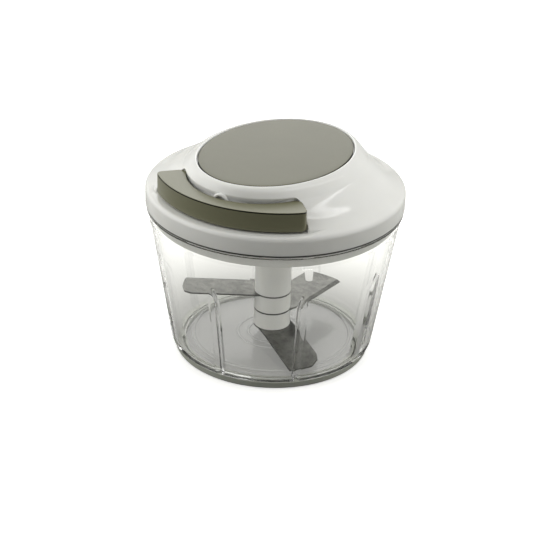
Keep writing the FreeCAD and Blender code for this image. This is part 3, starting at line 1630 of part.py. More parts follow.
def make_upper_blade():
    lead = d.upper_blade_lead
    trail = d.upper_blade_trail
    reach = baffle_face(d.upper_blade_height) - d.upper_blade_gap
    lead_end = root(reach * reach - lead * lead)
    body = blade_plan("upper_blade", [
        (0, -lead * 0.8),
        (lead, -lead),
        (lead_end, -lead, reach),
        (reach, 0),
        (reach - trail * 0.2, trail * 0.72),
        (reach - trail * 0.65, trail),
        (0, trail),
    ], d.upper_blade_height, d.blade_thickness, d.upper_blade_azimuth)
    grind(body, lead, d.shaft_radius * 1.3, reach, d.upper_blade_height + d.blade_thickness)
    return aim(body, d.upper_blade_azimuth)


def make_middle_blade():
    lead = d.middle_blade_lead
    trail = d.middle_blade_trail
    reach = baffle_face(d.middle_blade_height) - d.middle_blade_gap
    lead_end = root(reach * reach - lead * lead)
    trail_end = root(reach * reach - trail * trail)
    body = blade_plan("middle_blade", [
        (0, -lead * 0.75),
        (lead, -lead),
        (lead_end, -lead, reach),
        (trail_end - trail * 0.15, trail * 0.9),
        (trail_end - trail * 0.55, trail),
        (0, trail),
    ], d.middle_blade_height, d.blade_thickness, d.middle_blade_azimuth)
    # Slanted notch in the trailing side, with a round end
    sketch = new_sketch(body, "XY_Plane", d.middle_blade_height)
    slant = d.notch_slant
    half = d.notch_width / 2
    base_x = reach - d.notch_set_back
    base_y = trail - d.notch_depth
    corners = []
    for along, across in ((0, half), (0, -half), (d.notch_depth * 3, -half * 1.6), (d.notch_depth * 3, half * 1.6)):
        corners.append((base_x + along * cosine(slant) - across * sine(slant),
                        base_y + along * sine(slant) + across * cosine(slant)))
    corners[0] = corners[0] + (half * NEARLY_HALF_ROUND,)
    outline(sketch, corners)
    pocket_of(body, sketch, d.blade_thickness, upwards=True)
    grind(body, lead, d.shaft_radius * 1.3, reach, d.middle_blade_height + d.blade_thickness)
    return aim(body, d.middle_blade_azimuth)


def make_lower_blade():
    """Blade bent down towards the floor: its plan meets the bent strip seen from the side."""
    lead = d.lower_blade_lead
    trail = d.lower_blade_trail
    low = d.lower_blade_height - d.lower_blade_drop
    reach = baffle_face(low) - d.lower_blade_gap
    lead_end = root(reach * reach - lead * lead)
    top = d.lower_blade_height + d.blade_thickness
    plan = blade_plan("lower_blade_plan", [
        (0, -lead),
        (lead_end, -lead, reach),
        (reach - trail * 0.12, trail * 0.35),
        (reach - trail * 0.55, trail * 0.85),
        (reach - trail, trail),
        (0, trail),
    ], low - d.blade_thickness, d.lower_blade_drop + 3 * d.blade_thickness, d.lower_blade_azimuth)
    strip = new_body("lower_blade_strip")
    sketch = new_sketch(strip, "XZ_Plane", -d.shaft_radius * 2)
    back = -d.shaft_radius * 1.5
    outline(sketch, [
        (back, d.lower_blade_height),
        (d.lower_blade_bend, d.lower_blade_height),
        (reach * 1.02, low),
        (reach * 1.02, low + d.blade_thickness),
        (d.lower_blade_bend, top),
        (back, top),
    ])
    feature(strip, "Pad", sketch, Length=d.shaft_radius * 4)
    blade = common("lower_blade", [plan, strip])
    doc.recompute()
    return aim(blade, d.lower_blade_azimuth)


def export():
    """Check every object and write each sub-part to its own file."""
    doc.recompute()
    for piece in doc.Objects:
        if "Invalid" in piece.State or "Error" in piece.State:
            raise RuntimeError(f"{piece.Name} failed: {piece.State}")
    os.makedirs("parts", exist_ok=True)
    for piece in nodes:
        shape = piece.Shape
        if shape.isNull() or not shape.isValid() or not shape.Solids:
            raise RuntimeError(f"{piece.Label} has no valid solid")
        shape.exportStep(f"parts/{piece.Label}.step")
        print(f"{piece.Label}: {len(shape.Solids)} solid(s), {shape.Volume:.1f} cubic mm")


make_bowl()
make_foot_ring()
make_bowl_pin()
make_lid_shell()
make_top_panel()
make_lid_seal()
make_lid_base()
make_screws("lid_screws", screw_places(), web_height - d.screw_head_height, d.screw_head_radius,
            d.screw_head_height, d.lid_screw_radius, d.lid_screw_length)
make_cord_guide()
make_handle_grip()
make_handle_cover()
make_screws("handle_screws", handle_screw_places(), handle_bottom, d.reel_screw_head_radius * 1.3,
            d.reel_screw_head_height, d.lid_screw_radius, d.handle_height * 0.6)
make_cord_winding()
make_cord_lead()
make_cord_knot()
make_reel_axle()
make_axle_clip()
make_reel_drum()
make_reel_plate()
make_screws("reel_screws", reel_screw_places(), reel_bottom, d.reel_screw_head_radius,
            d.reel_screw_head_height, d.reel_screw_radius, d.reel_screw_length * 0.8)
make_mainspring()
make_drive_hub()
make_hub_bush()
make_thrust_washer()
make_hub_clip()
make_pawl("drive_pawl_a", 0)
make_pawl("drive_pawl_b", 180)
make_pawl_pivots()
make_pawl_spring("pawl_spring_a", 0)
make_pawl_spring("pawl_spring_b", 180)
make_upper_shaft()
make_upper_blade()
make_spacer("middle_spacer", d.middle_blade_height + d.blade_thickness, d.upper_blade_height)
make_middle_blade()
make_spacer("lower_spacer", d.lower_blade_height + d.blade_thickness, d.middle_blade_height)
make_lower_blade()
make_shaft_nut()
make_bearing_bush()
export()
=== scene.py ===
"""Looks of the pull-string food chopper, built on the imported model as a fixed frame.

Each sub-assembly is a class that builds its meshes and dresses its pieces. All lengths are in
metres unless a name ends in _mm. The pull handle lies on the -Y side and +Z is up.
"""
import json
import logging
import math
from collections.abc import Iterator
from contextlib import contextmanager
from dataclasses import dataclass, field
from enum import Enum

import bmesh
import bpy
from mathutils import Matrix, Quaternion, Vector


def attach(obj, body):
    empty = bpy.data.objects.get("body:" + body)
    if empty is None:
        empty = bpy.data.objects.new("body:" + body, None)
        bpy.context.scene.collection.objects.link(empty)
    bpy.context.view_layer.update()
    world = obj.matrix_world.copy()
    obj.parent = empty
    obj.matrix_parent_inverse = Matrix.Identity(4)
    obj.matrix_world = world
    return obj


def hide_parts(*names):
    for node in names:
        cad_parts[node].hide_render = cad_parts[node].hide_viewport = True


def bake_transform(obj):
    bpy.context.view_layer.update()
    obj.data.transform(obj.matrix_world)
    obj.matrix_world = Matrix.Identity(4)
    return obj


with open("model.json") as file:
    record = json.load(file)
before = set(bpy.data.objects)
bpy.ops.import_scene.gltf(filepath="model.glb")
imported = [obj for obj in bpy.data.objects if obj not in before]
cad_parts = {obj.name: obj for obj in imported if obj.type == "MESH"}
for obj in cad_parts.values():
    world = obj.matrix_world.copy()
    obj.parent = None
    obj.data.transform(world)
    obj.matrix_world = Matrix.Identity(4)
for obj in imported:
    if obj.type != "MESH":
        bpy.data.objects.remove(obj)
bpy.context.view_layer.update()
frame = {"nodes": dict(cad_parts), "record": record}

MM = 0.001
log = logging.getLogger("chopper")


class Body(Enum):
    """The moving groups of the chopper that a piece can ride on."""

    BOWL = "bowl"
    LID = "lid"
    HANDLE = "handle"
    REEL = "reel"
    PAWL_A = "pawl_a"
    PAWL_B = "pawl_b"


def linear(colour: str) -> tuple[float, float, float, float]:
    """Turn an sRGB hex colour into linear RGBA, by the curve of the sRGB standard.

    Args:
        colour: Six hex digits after a hash sign.

    Returns:
        The colour as Cycles reads it, with an alpha of 1.
    """
    parts = [int(colour[at:at + 2], 16) / 255 for at in (1, 3, 5)]
    red, green, blue = (part / 12.92 if part <= 0.04045 else ((part + 0.055) / 1.055) ** 2.4
                        for part in parts)
    return red, green, blue, 1.0


def add_node(tree: bpy.types.NodeTree, kind: str, sockets: dict | None = None,
             **settings: object) -> bpy.types.Node:
    """Add a shader node with its settings, values and links.

    Args:
        tree: The node tree that gets the node.
        kind: Blender's name for the node's type, without its ShaderNode prefix.
        sockets: Input names or indices, each with a value, with an output to link, or with a
            node whose output in use is linked.
        settings: Attributes of the node, such as operation or data_type.

    Returns:
        The new node.
    """
    node = tree.nodes.new("ShaderNode" + kind)
    for name, value in settings.items():
        setattr(node, name, value)
    for name, value in (sockets or {}).items():
        if isinstance(value, bpy.types.Node):
            value = next(output for output in value.outputs if output.enabled)
        if isinstance(value, bpy.types.NodeSocket):
            tree.links.new(value, node.inputs[name])
        else:
            node.inputs[name].default_value = value
    return node


class Surface:
    """A material in the making: its node tree, and its coordinates in metres."""

    def __init__(self, name: str) -> None:
        """Start an empty material.

        Args:
            name: The real material and how it was made.
        """
        self.material = bpy.data.materials.new(name)
        self.material.use_nodes = True
        self.material.node_tree.nodes.clear()
        self.place = self.add("TexCoord").outputs["Object"]

    def add(self, kind: str, sockets: dict | None = None, **settings: object) -> bpy.types.Node:
        """Add a node to this material; see add_node."""
        return add_node(self.material.node_tree, kind, sockets, **settings)

    def finished(self, shader: bpy.types.Node) -> bpy.types.Material:
        """Show a shader on the surface, and give the material."""
        self.add("OutputMaterial", {"Surface": shader})
        return self.material


# Spans of a noise's values: most of them, nearly all of them, and those near its middle
SPAN = {"From Min": 0.3, "From Max": 0.7}
WIDE_SPAN = {"From Min": 0.25, "From Max": 0.75}
NARROW_SPAN = {"From Min": 0.35, "From Max": 0.65}


@dataclass(frozen=True)
class MouldedPlastic:
    """Opaque plastic, such as ABS, acetal or polypropylene, injection moulded.

    The eye sees an even body colour with a faint flow of tone, a gloss that a fine grain breaks
    up slightly, and a shallow waviness in the reflections.
    """

    name: str
    body: str
    body_shade: str
    roughness: float
    # Least and greatest share of the roughness
    uneven: tuple[float, float] = (0.85, 1.15)
    flow_mm: float = 28.0
    grain_mm: float = 0.6
    grain_depth_mm: float = 0.002
    wave_mm: float = 9.0
    wave_depth_mm: float = 0.02
    ior: float = 1.5
    gloss: float = 0.5
    # Share of the light that goes a little way in, which lifts the shaded sides
    glow: float = 0.0
    glow_depth_mm: float = 1.5
    glow_spread: tuple[float, float, float] = (1.0, 0.95, 0.85)
    # Heights of a band of painted shadow, which stands in for the shade in a joint's groove
    painted_shadow_mm: tuple[float, float] | None = None
    painted_shadow_colour: str = "#1e1e1a"

    def build(self) -> bpy.types.Material:
        """Make the material.

        Returns:
            The finished material.
        """
        made = Surface(self.name)
        flow, grain, wave = [
            made.add("TexNoise", {"Vector": made.place, "Scale": 1 / (size * MM), "Detail": detail})
            for size, detail in ((self.flow_mm, 3.0), (self.grain_mm, 2.0), (self.wave_mm, 1.0))]
        tone = made.add("Mix", {0: made.add("MapRange", {"Value": flow, **SPAN}),
                                6: linear(self.body_shade), 7: linear(self.body)}, data_type="RGBA")
        # Painted shadow: the band is coloured dark where the joint's groove would lie in shade
        if self.painted_shadow_mm:
            low, high = self.painted_shadow_mm
            height = made.add("SeparateXYZ", {0: made.place}).outputs["Z"]
            in_painted_shadow = made.add("Math", {0: height, 1: (low + high) / 2 * MM,
                                      2: (high - low) / 2 * MM}, operation="COMPARE")
            tone = made.add("Mix", {0: in_painted_shadow, 6: tone, 7: linear(self.painted_shadow_colour)},
                            data_type="RGBA")
        waved = made.add("Bump", {"Height": wave, "Distance": self.wave_depth_mm * MM})
        glow = {"Subsurface Weight": self.glow, "Subsurface Scale": self.glow_depth_mm * MM,
                "Subsurface Radius": self.glow_spread} if self.glow else {}
        return made.finished(made.add("BsdfPrincipled", {
            "Base Color": tone, "IOR": self.ior, "Specular IOR Level": self.gloss,
            "Roughness": made.add("MapRange", {
                "Value": grain, **WIDE_SPAN, "To Min": self.roughness * self.uneven[0],
                "To Max": self.roughness * self.uneven[1]}),
            "Normal": made.add("Bump", {"Height": grain, "Normal": waved,
                                        "Distance": self.grain_depth_mm * MM}), **glow}))


@dataclass(frozen=True)
class ClearPlastic:
    """Clear styrene-acrylonitrile, injection moulded and polished.

    The eye sees glass-like edges, a very slight grey tint in its thickness, faint flow waves and
    pale rings on the floor: a painted highlight, drawn as white frost on the ridges' edges, which
    stands in for the light that they bend.
    """

    name: str
    tint: str
    # Each surface turns some of a lamp's light away
    lamp_tint: str
    roughness: float
    uneven: tuple[float, float] = (0.7, 1.3)
    wave_mm: float = 14.0
    wave_depth_mm: float = 0.012
    # The body bends light less than the real 1.57, so that the ridges stay light; a coat shines
    ior: float = 1.1
    coat: float = 0.5
    coat_ior: float = 1.57
    coat_roughness: float = 0.24
    # Bounces after which light goes straight through, as a real wall's faults let it out
    free_after: float = 2.5
    # Radii of the ridges' edges on the floor, their width, height limit and painted highlight
    rings_mm: tuple[float, ...] = (49.6, 45.8, 44.2, 20.0, 18.8, 14.1, 12.9)
    ring_edge_mm: float = 0.5
    rings_below_mm: float = 6.6
    ring_highlight_share: float = 0.3
    ring_highlight_white: str = "#f4f4f2"

    def build(self) -> bpy.types.Material:
        """Make the material; lamps and diffuse light shine through it without bending.

        Returns:
            The finished material.
        """
        made = Surface(self.name)
        wave = made.add("TexNoise", {"Vector": made.place, "Scale": 1 / (self.wave_mm * MM),
                                     "Detail": 1.0})
        clear = made.add("BsdfPrincipled", {
            "Base Color": linear(self.tint), "IOR": self.ior, "Transmission Weight": 1.0,
            "Coat Weight": self.coat, "Coat IOR": self.coat_ior,
            "Coat Roughness": self.coat_roughness,
            "Roughness": made.add("MapRange", {
                "Value": wave, **SPAN, "To Min": self.roughness * self.uneven[0],
                "To Max": self.roughness * self.uneven[1]}),
            "Normal": made.add("Bump", {"Height": wave, "Distance": self.wave_depth_mm * MM})})
        # Painted highlight: white frost on the ridges' edges stands in for the light that they bend
        painted_ring_highlight = made.add("BsdfDiffuse", {"Color": linear(self.ring_highlight_white)})
        body = made.add("MixShader", {0: self.ring_edges(made), 1: clear, 2: painted_ring_highlight})
        path = made.add("LightPath").outputs
        straight = made.add("Math", {0: path["Is Shadow Ray"], 1: path["Is Diffuse Ray"]},
                            operation="MAXIMUM")
        caught = made.add("Math", {0: path["Ray Depth"], 1: self.free_after},
                          operation="GREATER_THAN")
        straight = made.add("Math", {0: straight, 1: caught}, operation="MAXIMUM")
        through = made.add("BsdfTransparent", {"Color": linear(self.lamp_tint)})
        return made.finished(made.add("MixShader", {0: straight, 1: body, 2: through}))

    def ring_edges(self, made: Surface) -> bpy.types.Node:
        """Share of painted highlight, a white frost, along the edges of the floor's rings.

        Args:
            made: The material in the making.

        Returns:
            The node that gives the share.
        """
        spot = made.add("SeparateXYZ", {0: made.place}).outputs
        away = made.add("VectorMath", {0: made.add("CombineXYZ", {0: spot["X"], 1: spot["Y"]})},
                        operation="LENGTH")
        edges: bpy.types.Node | float = 0.0
        for radius in self.rings_mm:
            edge = made.add("Math", {0: away, 1: radius * MM, 2: self.ring_edge_mm / 2 * MM},
                            operation="COMPARE")
            edges = made.add("Math", {0: edges, 1: edge}, operation="MAXIMUM")
        low = made.add("Math", {0: spot["Z"], 1: 0.0, 2: self.rings_below_mm * MM},
                       operation="COMPARE")
        for share in (low, self.ring_highlight_share):
            edges = made.add("Math", {0: edges, 1: share}, operation="MULTIPLY")
        return edges


@dataclass(frozen=True)
class BrushedSteel:
    """Stainless steel sheet, brushed along its length.

    The eye sees fine parallel scratches that stretch the highlights across them, and a slightly
    cloudy grey in between.
    """

    name: str
    shade: str
    light: str
    roughness: float
    uneven: tuple[float, float] = (0.7, 1.4)
    # How many times longer the scratches are along each axis
    stretch: tuple[float, float, float] = (30.0, 1.0, 1.0)
    # Real scratches are about 0.05 mm apart; they are drawn coarser so that they show
    scratch_mm: float = 0.35
    scratch_depth_mm: float = 0.006
    cloud_mm: float = 4.0
    fineness: float = 0.7

    def build(self) -> bpy.types.Material:
        """Make the material.

        Returns:
            The finished material.
        """
        made = Surface(self.name)
        drawn = made.add("Mapping", {"Vector": made.place,
                                     "Scale": [1 / part for part in self.stretch]})
        scratch, cloud = [
            made.add("TexNoise", {"Vector": spot, "Scale": 1 / (size * MM), "Detail": detail,
                                  "Roughness": self.fineness})
            for spot, size, detail in (
                (drawn, self.scratch_mm, 4.0), (made.place, self.cloud_mm, 5.0))]
        return made.finished(made.add("BsdfPrincipled", {
            "Base Color": made.add("Mix", {
                0: made.add("MapRange", {"Value": cloud, **NARROW_SPAN}),
                6: linear(self.shade), 7: linear(self.light)}, data_type="RGBA"),
            "Metallic": 1.0,
            "Roughness": made.add("MapRange", {
                "Value": scratch, **SPAN, "To Min": self.roughness * self.uneven[0],
                "To Max": self.roughness * self.uneven[1]}),
            "Normal": made.add("Bump", {"Height": scratch,
                                        "Distance": self.scratch_depth_mm * MM})}))


@dataclass(frozen=True)
class TurnedMetal:
    """Steel or bronze, turned on a lathe about Z.

    The eye sees fine rings round its axis, which draw the highlights out along it.
    """

    name: str
    shade: str
    light: str
    roughness: float
    uneven: tuple[float, float] = (0.7, 1.3)
    # Feed marks of 0.1 mm are drawn 0.4 mm apart so that they show
    ring_mm: float = 0.4
    ring_depth_mm: float = 0.004
    stretch: tuple[float, float, float] = (40.0, 40.0, 1.0)
    cloud_mm: float = 3.0

    def build(self) -> bpy.types.Material:
        """Make the material.

        Returns:
            The finished material.
        """
        made = Surface(self.name)
        drawn = made.add("Mapping", {"Vector": made.place,
                                     "Scale": [1 / part for part in self.stretch]})
        rings, cloud = [made.add("TexNoise", {"Vector": spot, "Scale": 1 / (size * MM)})
                        for spot, size in ((drawn, self.ring_mm), (made.place, self.cloud_mm))]
        return made.finished(made.add("BsdfPrincipled", {
            "Base Color": made.add("Mix", {0: cloud, 6: linear(self.shade), 7: linear(self.light)},
                                   data_type="RGBA"),
            "Metallic": 1.0,
            "Roughness": made.add("MapRange", {
                "Value": rings, **SPAN, "To Min": self.roughness * self.uneven[0],
                "To Max": self.roughness * self.uneven[1]}),
            "Normal": made.add("Bump", {"Height": rings, "Distance": self.ring_depth_mm * MM})}))


@dataclass(frozen=True)
class SoftElastomer:
    """Silicone or thermoplastic rubber, moulded.

    The eye sees a matt, slightly dusty skin with a pale bloom at its turned edges.
    """

    name: str
    body: str
    body_shade: str
    roughness: float
    uneven: tuple[float, float] = (0.9, 1.1)
    dust_mm: float = 11.0
    grain_mm: float = 0.5
    grain_depth_mm: float = 0.006
    bloom: float = 0.15

    def build(self) -> bpy.types.Material:
        """Make the material.

        Returns:
            The finished material.
        """
        made = Surface(self.name)
        dust, grain = [
            made.add("TexNoise", {"Vector": made.place, "Scale": 1 / (size * MM), "Detail": detail})
            for size, detail in ((self.dust_mm, 4.0), (self.grain_mm, 2.0))]
        return made.finished(made.add("BsdfPrincipled", {
            "Base Color": made.add("Mix", {
                0: made.add("MapRange", {"Value": dust, **SPAN}),
                6: linear(self.body_shade), 7: linear(self.body)}, data_type="RGBA"),
            "Roughness": made.add("MapRange", {
                "Value": grain, **SPAN, "To Min": self.roughness * self.uneven[0],
                "To Max": self.roughness * self.uneven[1]}),
            "Normal": made.add("Bump", {"Height": grain, "Distance": self.grain_depth_mm * MM}),
            "Sheen Weight": self.bloom}))


@dataclass(frozen=True)
class BraidedNylon:
    """White nylon cord, braided from twisted strands.

    The eye sees a fine fibrous relief with a slight shine and pale fuzz at its edges.
    """

    name: str
    body: str
    body_shade: str
    roughness: float = 0.45
    fibre_mm: float = 0.25
    fibre_depth_mm: float = 0.02
    fineness: float = 0.7
    fuzz: float = 0.2

    def build(self) -> bpy.types.Material:
        """Make the material.

        Returns:
            The finished material.
        """
        made = Surface(self.name)
        fibre = made.add("TexNoise", {"Vector": made.place, "Scale": 1 / (self.fibre_mm * MM),
                                      "Detail": 3.0, "Roughness": self.fineness})
        return made.finished(made.add("BsdfPrincipled", {
            "Base Color": made.add("Mix", {
                0: made.add("MapRange", {"Value": fibre, **SPAN}),
                6: linear(self.body_shade), 7: linear(self.body)}, data_type="RGBA"),
            "Roughness": self.roughness, "Sheen Weight": self.fuzz,
            "Normal": made.add("Bump", {"Height": fibre, "Distance": self.fibre_depth_mm * MM})}))


@dataclass(frozen=True)
class TableTop:
    """White table top, painted matt and lit strongly.

    The eye sees plain white. It throws no more light on the chopper than grey paper would, with
    painted shade in that grey: darker towards the camera and a painted shadow under the chopper.
    Through the clear bowl it shows the chopper's soft shadow, partly cast and partly painted as a
    darker tone and a weaker glow near the axis.
    """

    seen: str = "#f6f6f4"
    glow: float = 0.45
    # Tones that diffuse light meets, with painted shade: a painted shadow under the chopper, and
    # darker towards the camera than away from it
    under: str = "#3c3c39"
    front: str = "#747470"
    back: str = "#c8c8c4"
    # Tones and glows through the clear bowl, near its axis and far from it; the darker tone and
    # weaker glow near the axis are a painted shadow
    near: str = "#787872"
    far: str = "#f2f2ee"
    near_glow: float = 0.2
    far_glow: float = 0.32
    # Distances from the axis at which the tones change, in metres
    near_radius: float = 0.05
    shade_radius: float = 0.075
    far_radius: float = 0.145
    back_edge: float = -0.15
    front_edge: float = 0.12
    spots_mm: float = 40.0
    spots_share: float = 0.03
    roughness: float = 0.7

    def build(self, ahead: Vector) -> bpy.types.Material:
        """Make the material.

        Args:
            ahead: Level direction towards the camera.

        Returns:
            The finished material.
        """
        made = Surface("Table_white_matt")
        path = made.add("LightPath").outputs
        seen, through = path["Is Camera Ray"], path["Is Transmission Ray"]
        spots = made.add("TexNoise", {"Vector": made.place, "Scale": 1 / (self.spots_mm * MM),
                                      "Detail": 3.0})
        forward = made.add("VectorMath", {0: made.place, 1: ahead}, operation="DOT_PRODUCT")
        forward = made.add("Math", {0: spots, 1: self.spots_share, 2: forward},
                           operation="MULTIPLY_ADD")
        away = made.add("VectorMath", {0: made.place}, operation="LENGTH")
        outwards = made.add("MapRange", {"Value": away, "From Min": self.near_radius,
                                         "From Max": self.far_radius})
        # Painted shade: darker towards the camera than away from it
        painted_shade_tone = made.add("Mix", {
            0: made.add("MapRange", {"Value": forward, "From Min": self.back_edge,
                                     "From Max": self.front_edge, "To Min": 1.0, "To Max": 0.0}),
            6: linear(self.front), 7: linear(self.back)}, data_type="RGBA")
        # Painted shadow under the chopper, out to shade_radius
        painted_shade_tone = made.add("Mix", {
            0: made.add("MapRange", {"Value": away, "From Min": self.near_radius,
                                     "From Max": self.shade_radius}),
            6: linear(self.under), 7: painted_shade_tone}, data_type="RGBA")
        # Painted shadow through the bowl: darker near the axis
        within = made.add("Mix", {0: outwards, 6: linear(self.near), 7: linear(self.far)},
                          data_type="RGBA")
        tone = made.add("Mix", {0: through, 6: painted_shade_tone, 7: within}, data_type="RGBA")
        tone = made.add("Mix", {0: seen, 6: tone, 7: linear(self.seen)}, data_type="RGBA")
        # Painted shadow through the bowl: the glow is weaker near the axis
        glow = made.add("MapRange", {"Value": outwards, "To Min": self.near_glow / self.glow,
                                     "To Max": self.far_glow / self.glow})
        glow = made.add("Math", {0: through, 1: glow}, operation="MULTIPLY")
        glow = made.add("Math", {0: seen, 1: glow}, operation="MAXIMUM")
        glow = made.add("Math", {0: glow, 1: self.glow}, operation="MULTIPLY")
        return made.finished(made.add("BsdfPrincipled", {
            "Base Color": tone, "Roughness": self.roughness,
            "Emission Color": linear("#ffffff"), "Emission Strength": glow}))


FINISHES = {
    "bowl_clear": ClearPlastic("SAN_clear_polished", "#fbfbfa", "#fafafa", 0.03),
    "shell_white": MouldedPlastic(
        "ABS_white_gloss", "#ecece8", "#e7e7e3", 0.08, wave_depth_mm=0.008, glow=0.25),
    # Painted shade: the under-plate is the shell's white plastic, drawn darker as in the shade
    # under the lid
    "base_white": MouldedPlastic(
        "ABS_white_underplate_shaded", "#d2d2cd", "#ccccc7", 0.32, glow=0.25),
    "shaft_white": MouldedPlastic(
        "Polypropylene_white_moulded", "#e6e6e0", "#dededa", 0.36, glow=0.3),
    # The panel's band of painted shadow darkens its edge side, in the gap round it
    "panel_taupe": MouldedPlastic(
        "ABS_taupe_satin", "#62614c", "#5e5d49", 0.34, grain_mm=0.45, grain_depth_mm=0.006,
        gloss=0.32, painted_shadow_mm=(115.0, 117.86)),
    # The handle's band of painted shadow darkens its parting groove under the top edge
    "handle_taupe": MouldedPlastic(
        "ABS_taupe_gloss", "#737259", "#6f6e56", 0.34, grain_depth_mm=0.0006, wave_depth_mm=0.01,
        gloss=0.52, painted_shadow_mm=(110.6, 111.25)),
    # Dark grey silicone; its dark colour also stands in for the line of shade at the skirt's bottom
    # edge
    "seal_rubber": SoftElastomer("Silicone_dark_grey_and_gap_shade", "#4a4a47", "#41413e", 0.5),
    "foot_rubber": SoftElastomer("TPE_grey_green", "#a8aaa0", "#a0a297", 0.3),
    "blade_steel": BrushedSteel("Stainless_steel_brushed", "#555552", "#777772", 0.34),
    "pin_steel": TurnedMetal("Steel_turned", "#a8a8a4", "#bcbcb8", 0.22),
    "spring_steel": BrushedSteel(
        "Spring_steel_rolled", "#7c7f86", "#8d9096", 0.3, stretch=(1, 1, 30)),
    "screw_steel": TurnedMetal("Steel_zinc_plated", "#a9adb0", "#bfc2c4", 0.28),
    "bush_bronze": TurnedMetal("Sintered_bronze", "#a07a4a", "#b48c58", 0.4),
    "reel_acetal": MouldedPlastic("Acetal_natural_white", "#e2e2da", "#dadad0", 0.34, glow=0.3),
    "hub_acetal": MouldedPlastic("Acetal_black", "#3a3a3a", "#333333", 0.34),
    "cord_nylon": BraidedNylon("Nylon_white_braided", "#f0f0ec", "#c9c9c2"),
}


@dataclass
class Dresser:
    """Puts each CAD node's finish on it, by the record's material slots."""

    made: dict[str, bpy.types.Material] = field(default_factory=dict)
    # Widths of the roundings that a mould leaves on CAD nodes, in millimetres
    softened: dict[str, float] = field(default_factory=lambda: {
        "foot_ring": 0.6, "upper_shaft": 0.25,
        "middle_spacer": 0.25, "lower_spacer": 0.25, "lid_base": 0.4})
    rounding_steps: int = 3
    # Degrees up to which faces count as one, and from which an edge is rounded
    flat_within: float = 1.0
    rounded_from: float = 35.0

    def soften(self, node: bpy.types.Object, width_mm: float) -> None:
        """Round a CAD node's sharp edges, as a mould leaves them.

        Args:
            node: The CAD node's object.
            width_mm: Width of the rounding.
        """
        planar = node.modifiers.new("planar", "DECIMATE")
        planar.decimate_type = "DISSOLVE"
        planar.angle_limit = math.radians(self.flat_within)
        bevel = node.modifiers.new("bevel", "BEVEL")
        bevel.width = width_mm * MM
        bevel.segments = self.rounding_steps
        bevel.limit_method = "ANGLE"
        bevel.angle_limit = math.radians(self.rounded_from)
        bevel.harden_normals = True

    def finish(self, piece: bpy.types.Object, slot: str, node: str) -> None:
        """Give a modelled piece its finish and let it stand for a CAD node.

        Args:
            piece: The piece, in place.
            slot: The record's material slot.
            node: The CAD node.
        """
        piece.data.materials.append(self.material(slot))
        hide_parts(node)
        log.info("%s: modelled, %d faces", piece.name, len(piece.data.polygons))

    def dress(self, piece: bpy.types.Object, slot: str, node: str, body: Body) -> None:
        """Finish a modelled piece as above, and let it ride on a body."""
        self.finish(piece, slot, node)
        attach(piece, body.value)

    def material(self, slot: str) -> bpy.types.Material:
        """Give a slot's material, made once.

        Args:
            slot: Name of the record's material slot.

        Returns:
            Its material.
        """
        if slot not in self.made:
            self.made[slot] = FINISHES[slot].build()
        return self.made[slot]

    def dress_nodes(self) -> None:
        """Give every CAD node the finish of its slot."""
        for part in frame["record"]["subparts"]:
            node = frame["nodes"][part["node"]]
            node.data.materials.clear()
            node.data.materials.append(self.material(part["material_slot"]))
            if part["node"] in self.softened:
                self.soften(node, self.softened[part["node"]])
            log.info("%s: %s", part["node"], part["material_slot"])


@contextmanager
def editing(mesh: bpy.types.Mesh) -> Iterator[bmesh.types.BMesh]:
    """Open a mesh for editing, and write it back afterwards.

    Args:
        mesh: The mesh.

    Yields:
        Its editable form.
    """
    shape = bmesh.new()
    shape.from_mesh(mesh)
    yield shape
    shape.to_mesh(mesh)
    shape.free()


def put_in_scene(name: str, data: bpy.types.ID) -> bpy.types.Object:
    """Put a mesh, a lamp or a camera into the scene.

    Args:
        name: Name of the new object.
        data: What it shows.

    Returns:
        The new object.
    """
    held = bpy.data.objects.new(name, data)
    bpy.context.scene.collection.objects.link(held)
    return held


def full_turn(count: int) -> list[float]:
    """Evenly spaced angles round a circle, in radians."""
    return [2 * math.pi * part / count for part in range(count)]


def over_edge(rounding: float, top: float, steps: int) -> list[tuple[float, float]]:
    """List points over a rounded upper edge.

    Args:
        rounding: Radius of the rounding.
        top: Height of the face above it.
        steps: Stretches between the points.

    Returns:
        Their insets and heights.
    """
    turns = [math.pi / 2 * step / steps for step in range(steps + 1)]
    return [(rounding * (1 - math.cos(turn)), top - rounding * (1 - math.sin(turn)))
            for turn in turns]


def skin(name: str, rows: list[list[Vector]],
         poles: tuple[Vector | None, Vector | None] = (None, None),
         joined: bool = False, sharp: float = 40.0) -> bpy.types.Object:
    """Make a mesh of four-sided faces between closed rows of points.

    Args:
        name: Name of the new object.
        rows: Closed loops with equal numbers of points, in metres.
        poles: Points that close the first and the last row, where given.
        joined: Whether the last row joins the first.
        sharp: Edges that turn by more than this many degrees stay crisp.

    Returns:
        The new object, linked to the scene.
    """
    count = len(rows[0])
    points = [point for row in rows for point in row]
    faces = []
    for at in range(len(rows) if joined else len(rows) - 1):
        here, there = at * count, (at + 1) % len(rows) * count
        for index in range(count):
            after = (index + 1) % count
            faces.append((here + index, here + after, there + after, there + index))
    for pole, row, turned in ((poles[0], 0, True), (poles[1], len(rows) - 1, False)):
        if pole is not None:
            points.append(pole)
            for index in range(count):
                pair = (row * count + index, row * count + (index + 1) % count)
                faces.append((*(reversed(pair) if turned else pair), len(points) - 1))
    mesh = bpy.data.meshes.new(name)
    mesh.from_pydata(points, [], faces)
    with editing(mesh) as shape:
        bmesh.ops.recalc_face_normals(shape, faces=shape.faces)
    mesh.polygons.foreach_set("use_smooth", [True] * len(mesh.polygons))
    mesh.set_sharp_from_angle(angle=math.radians(sharp))
    return put_in_scene(name, mesh)


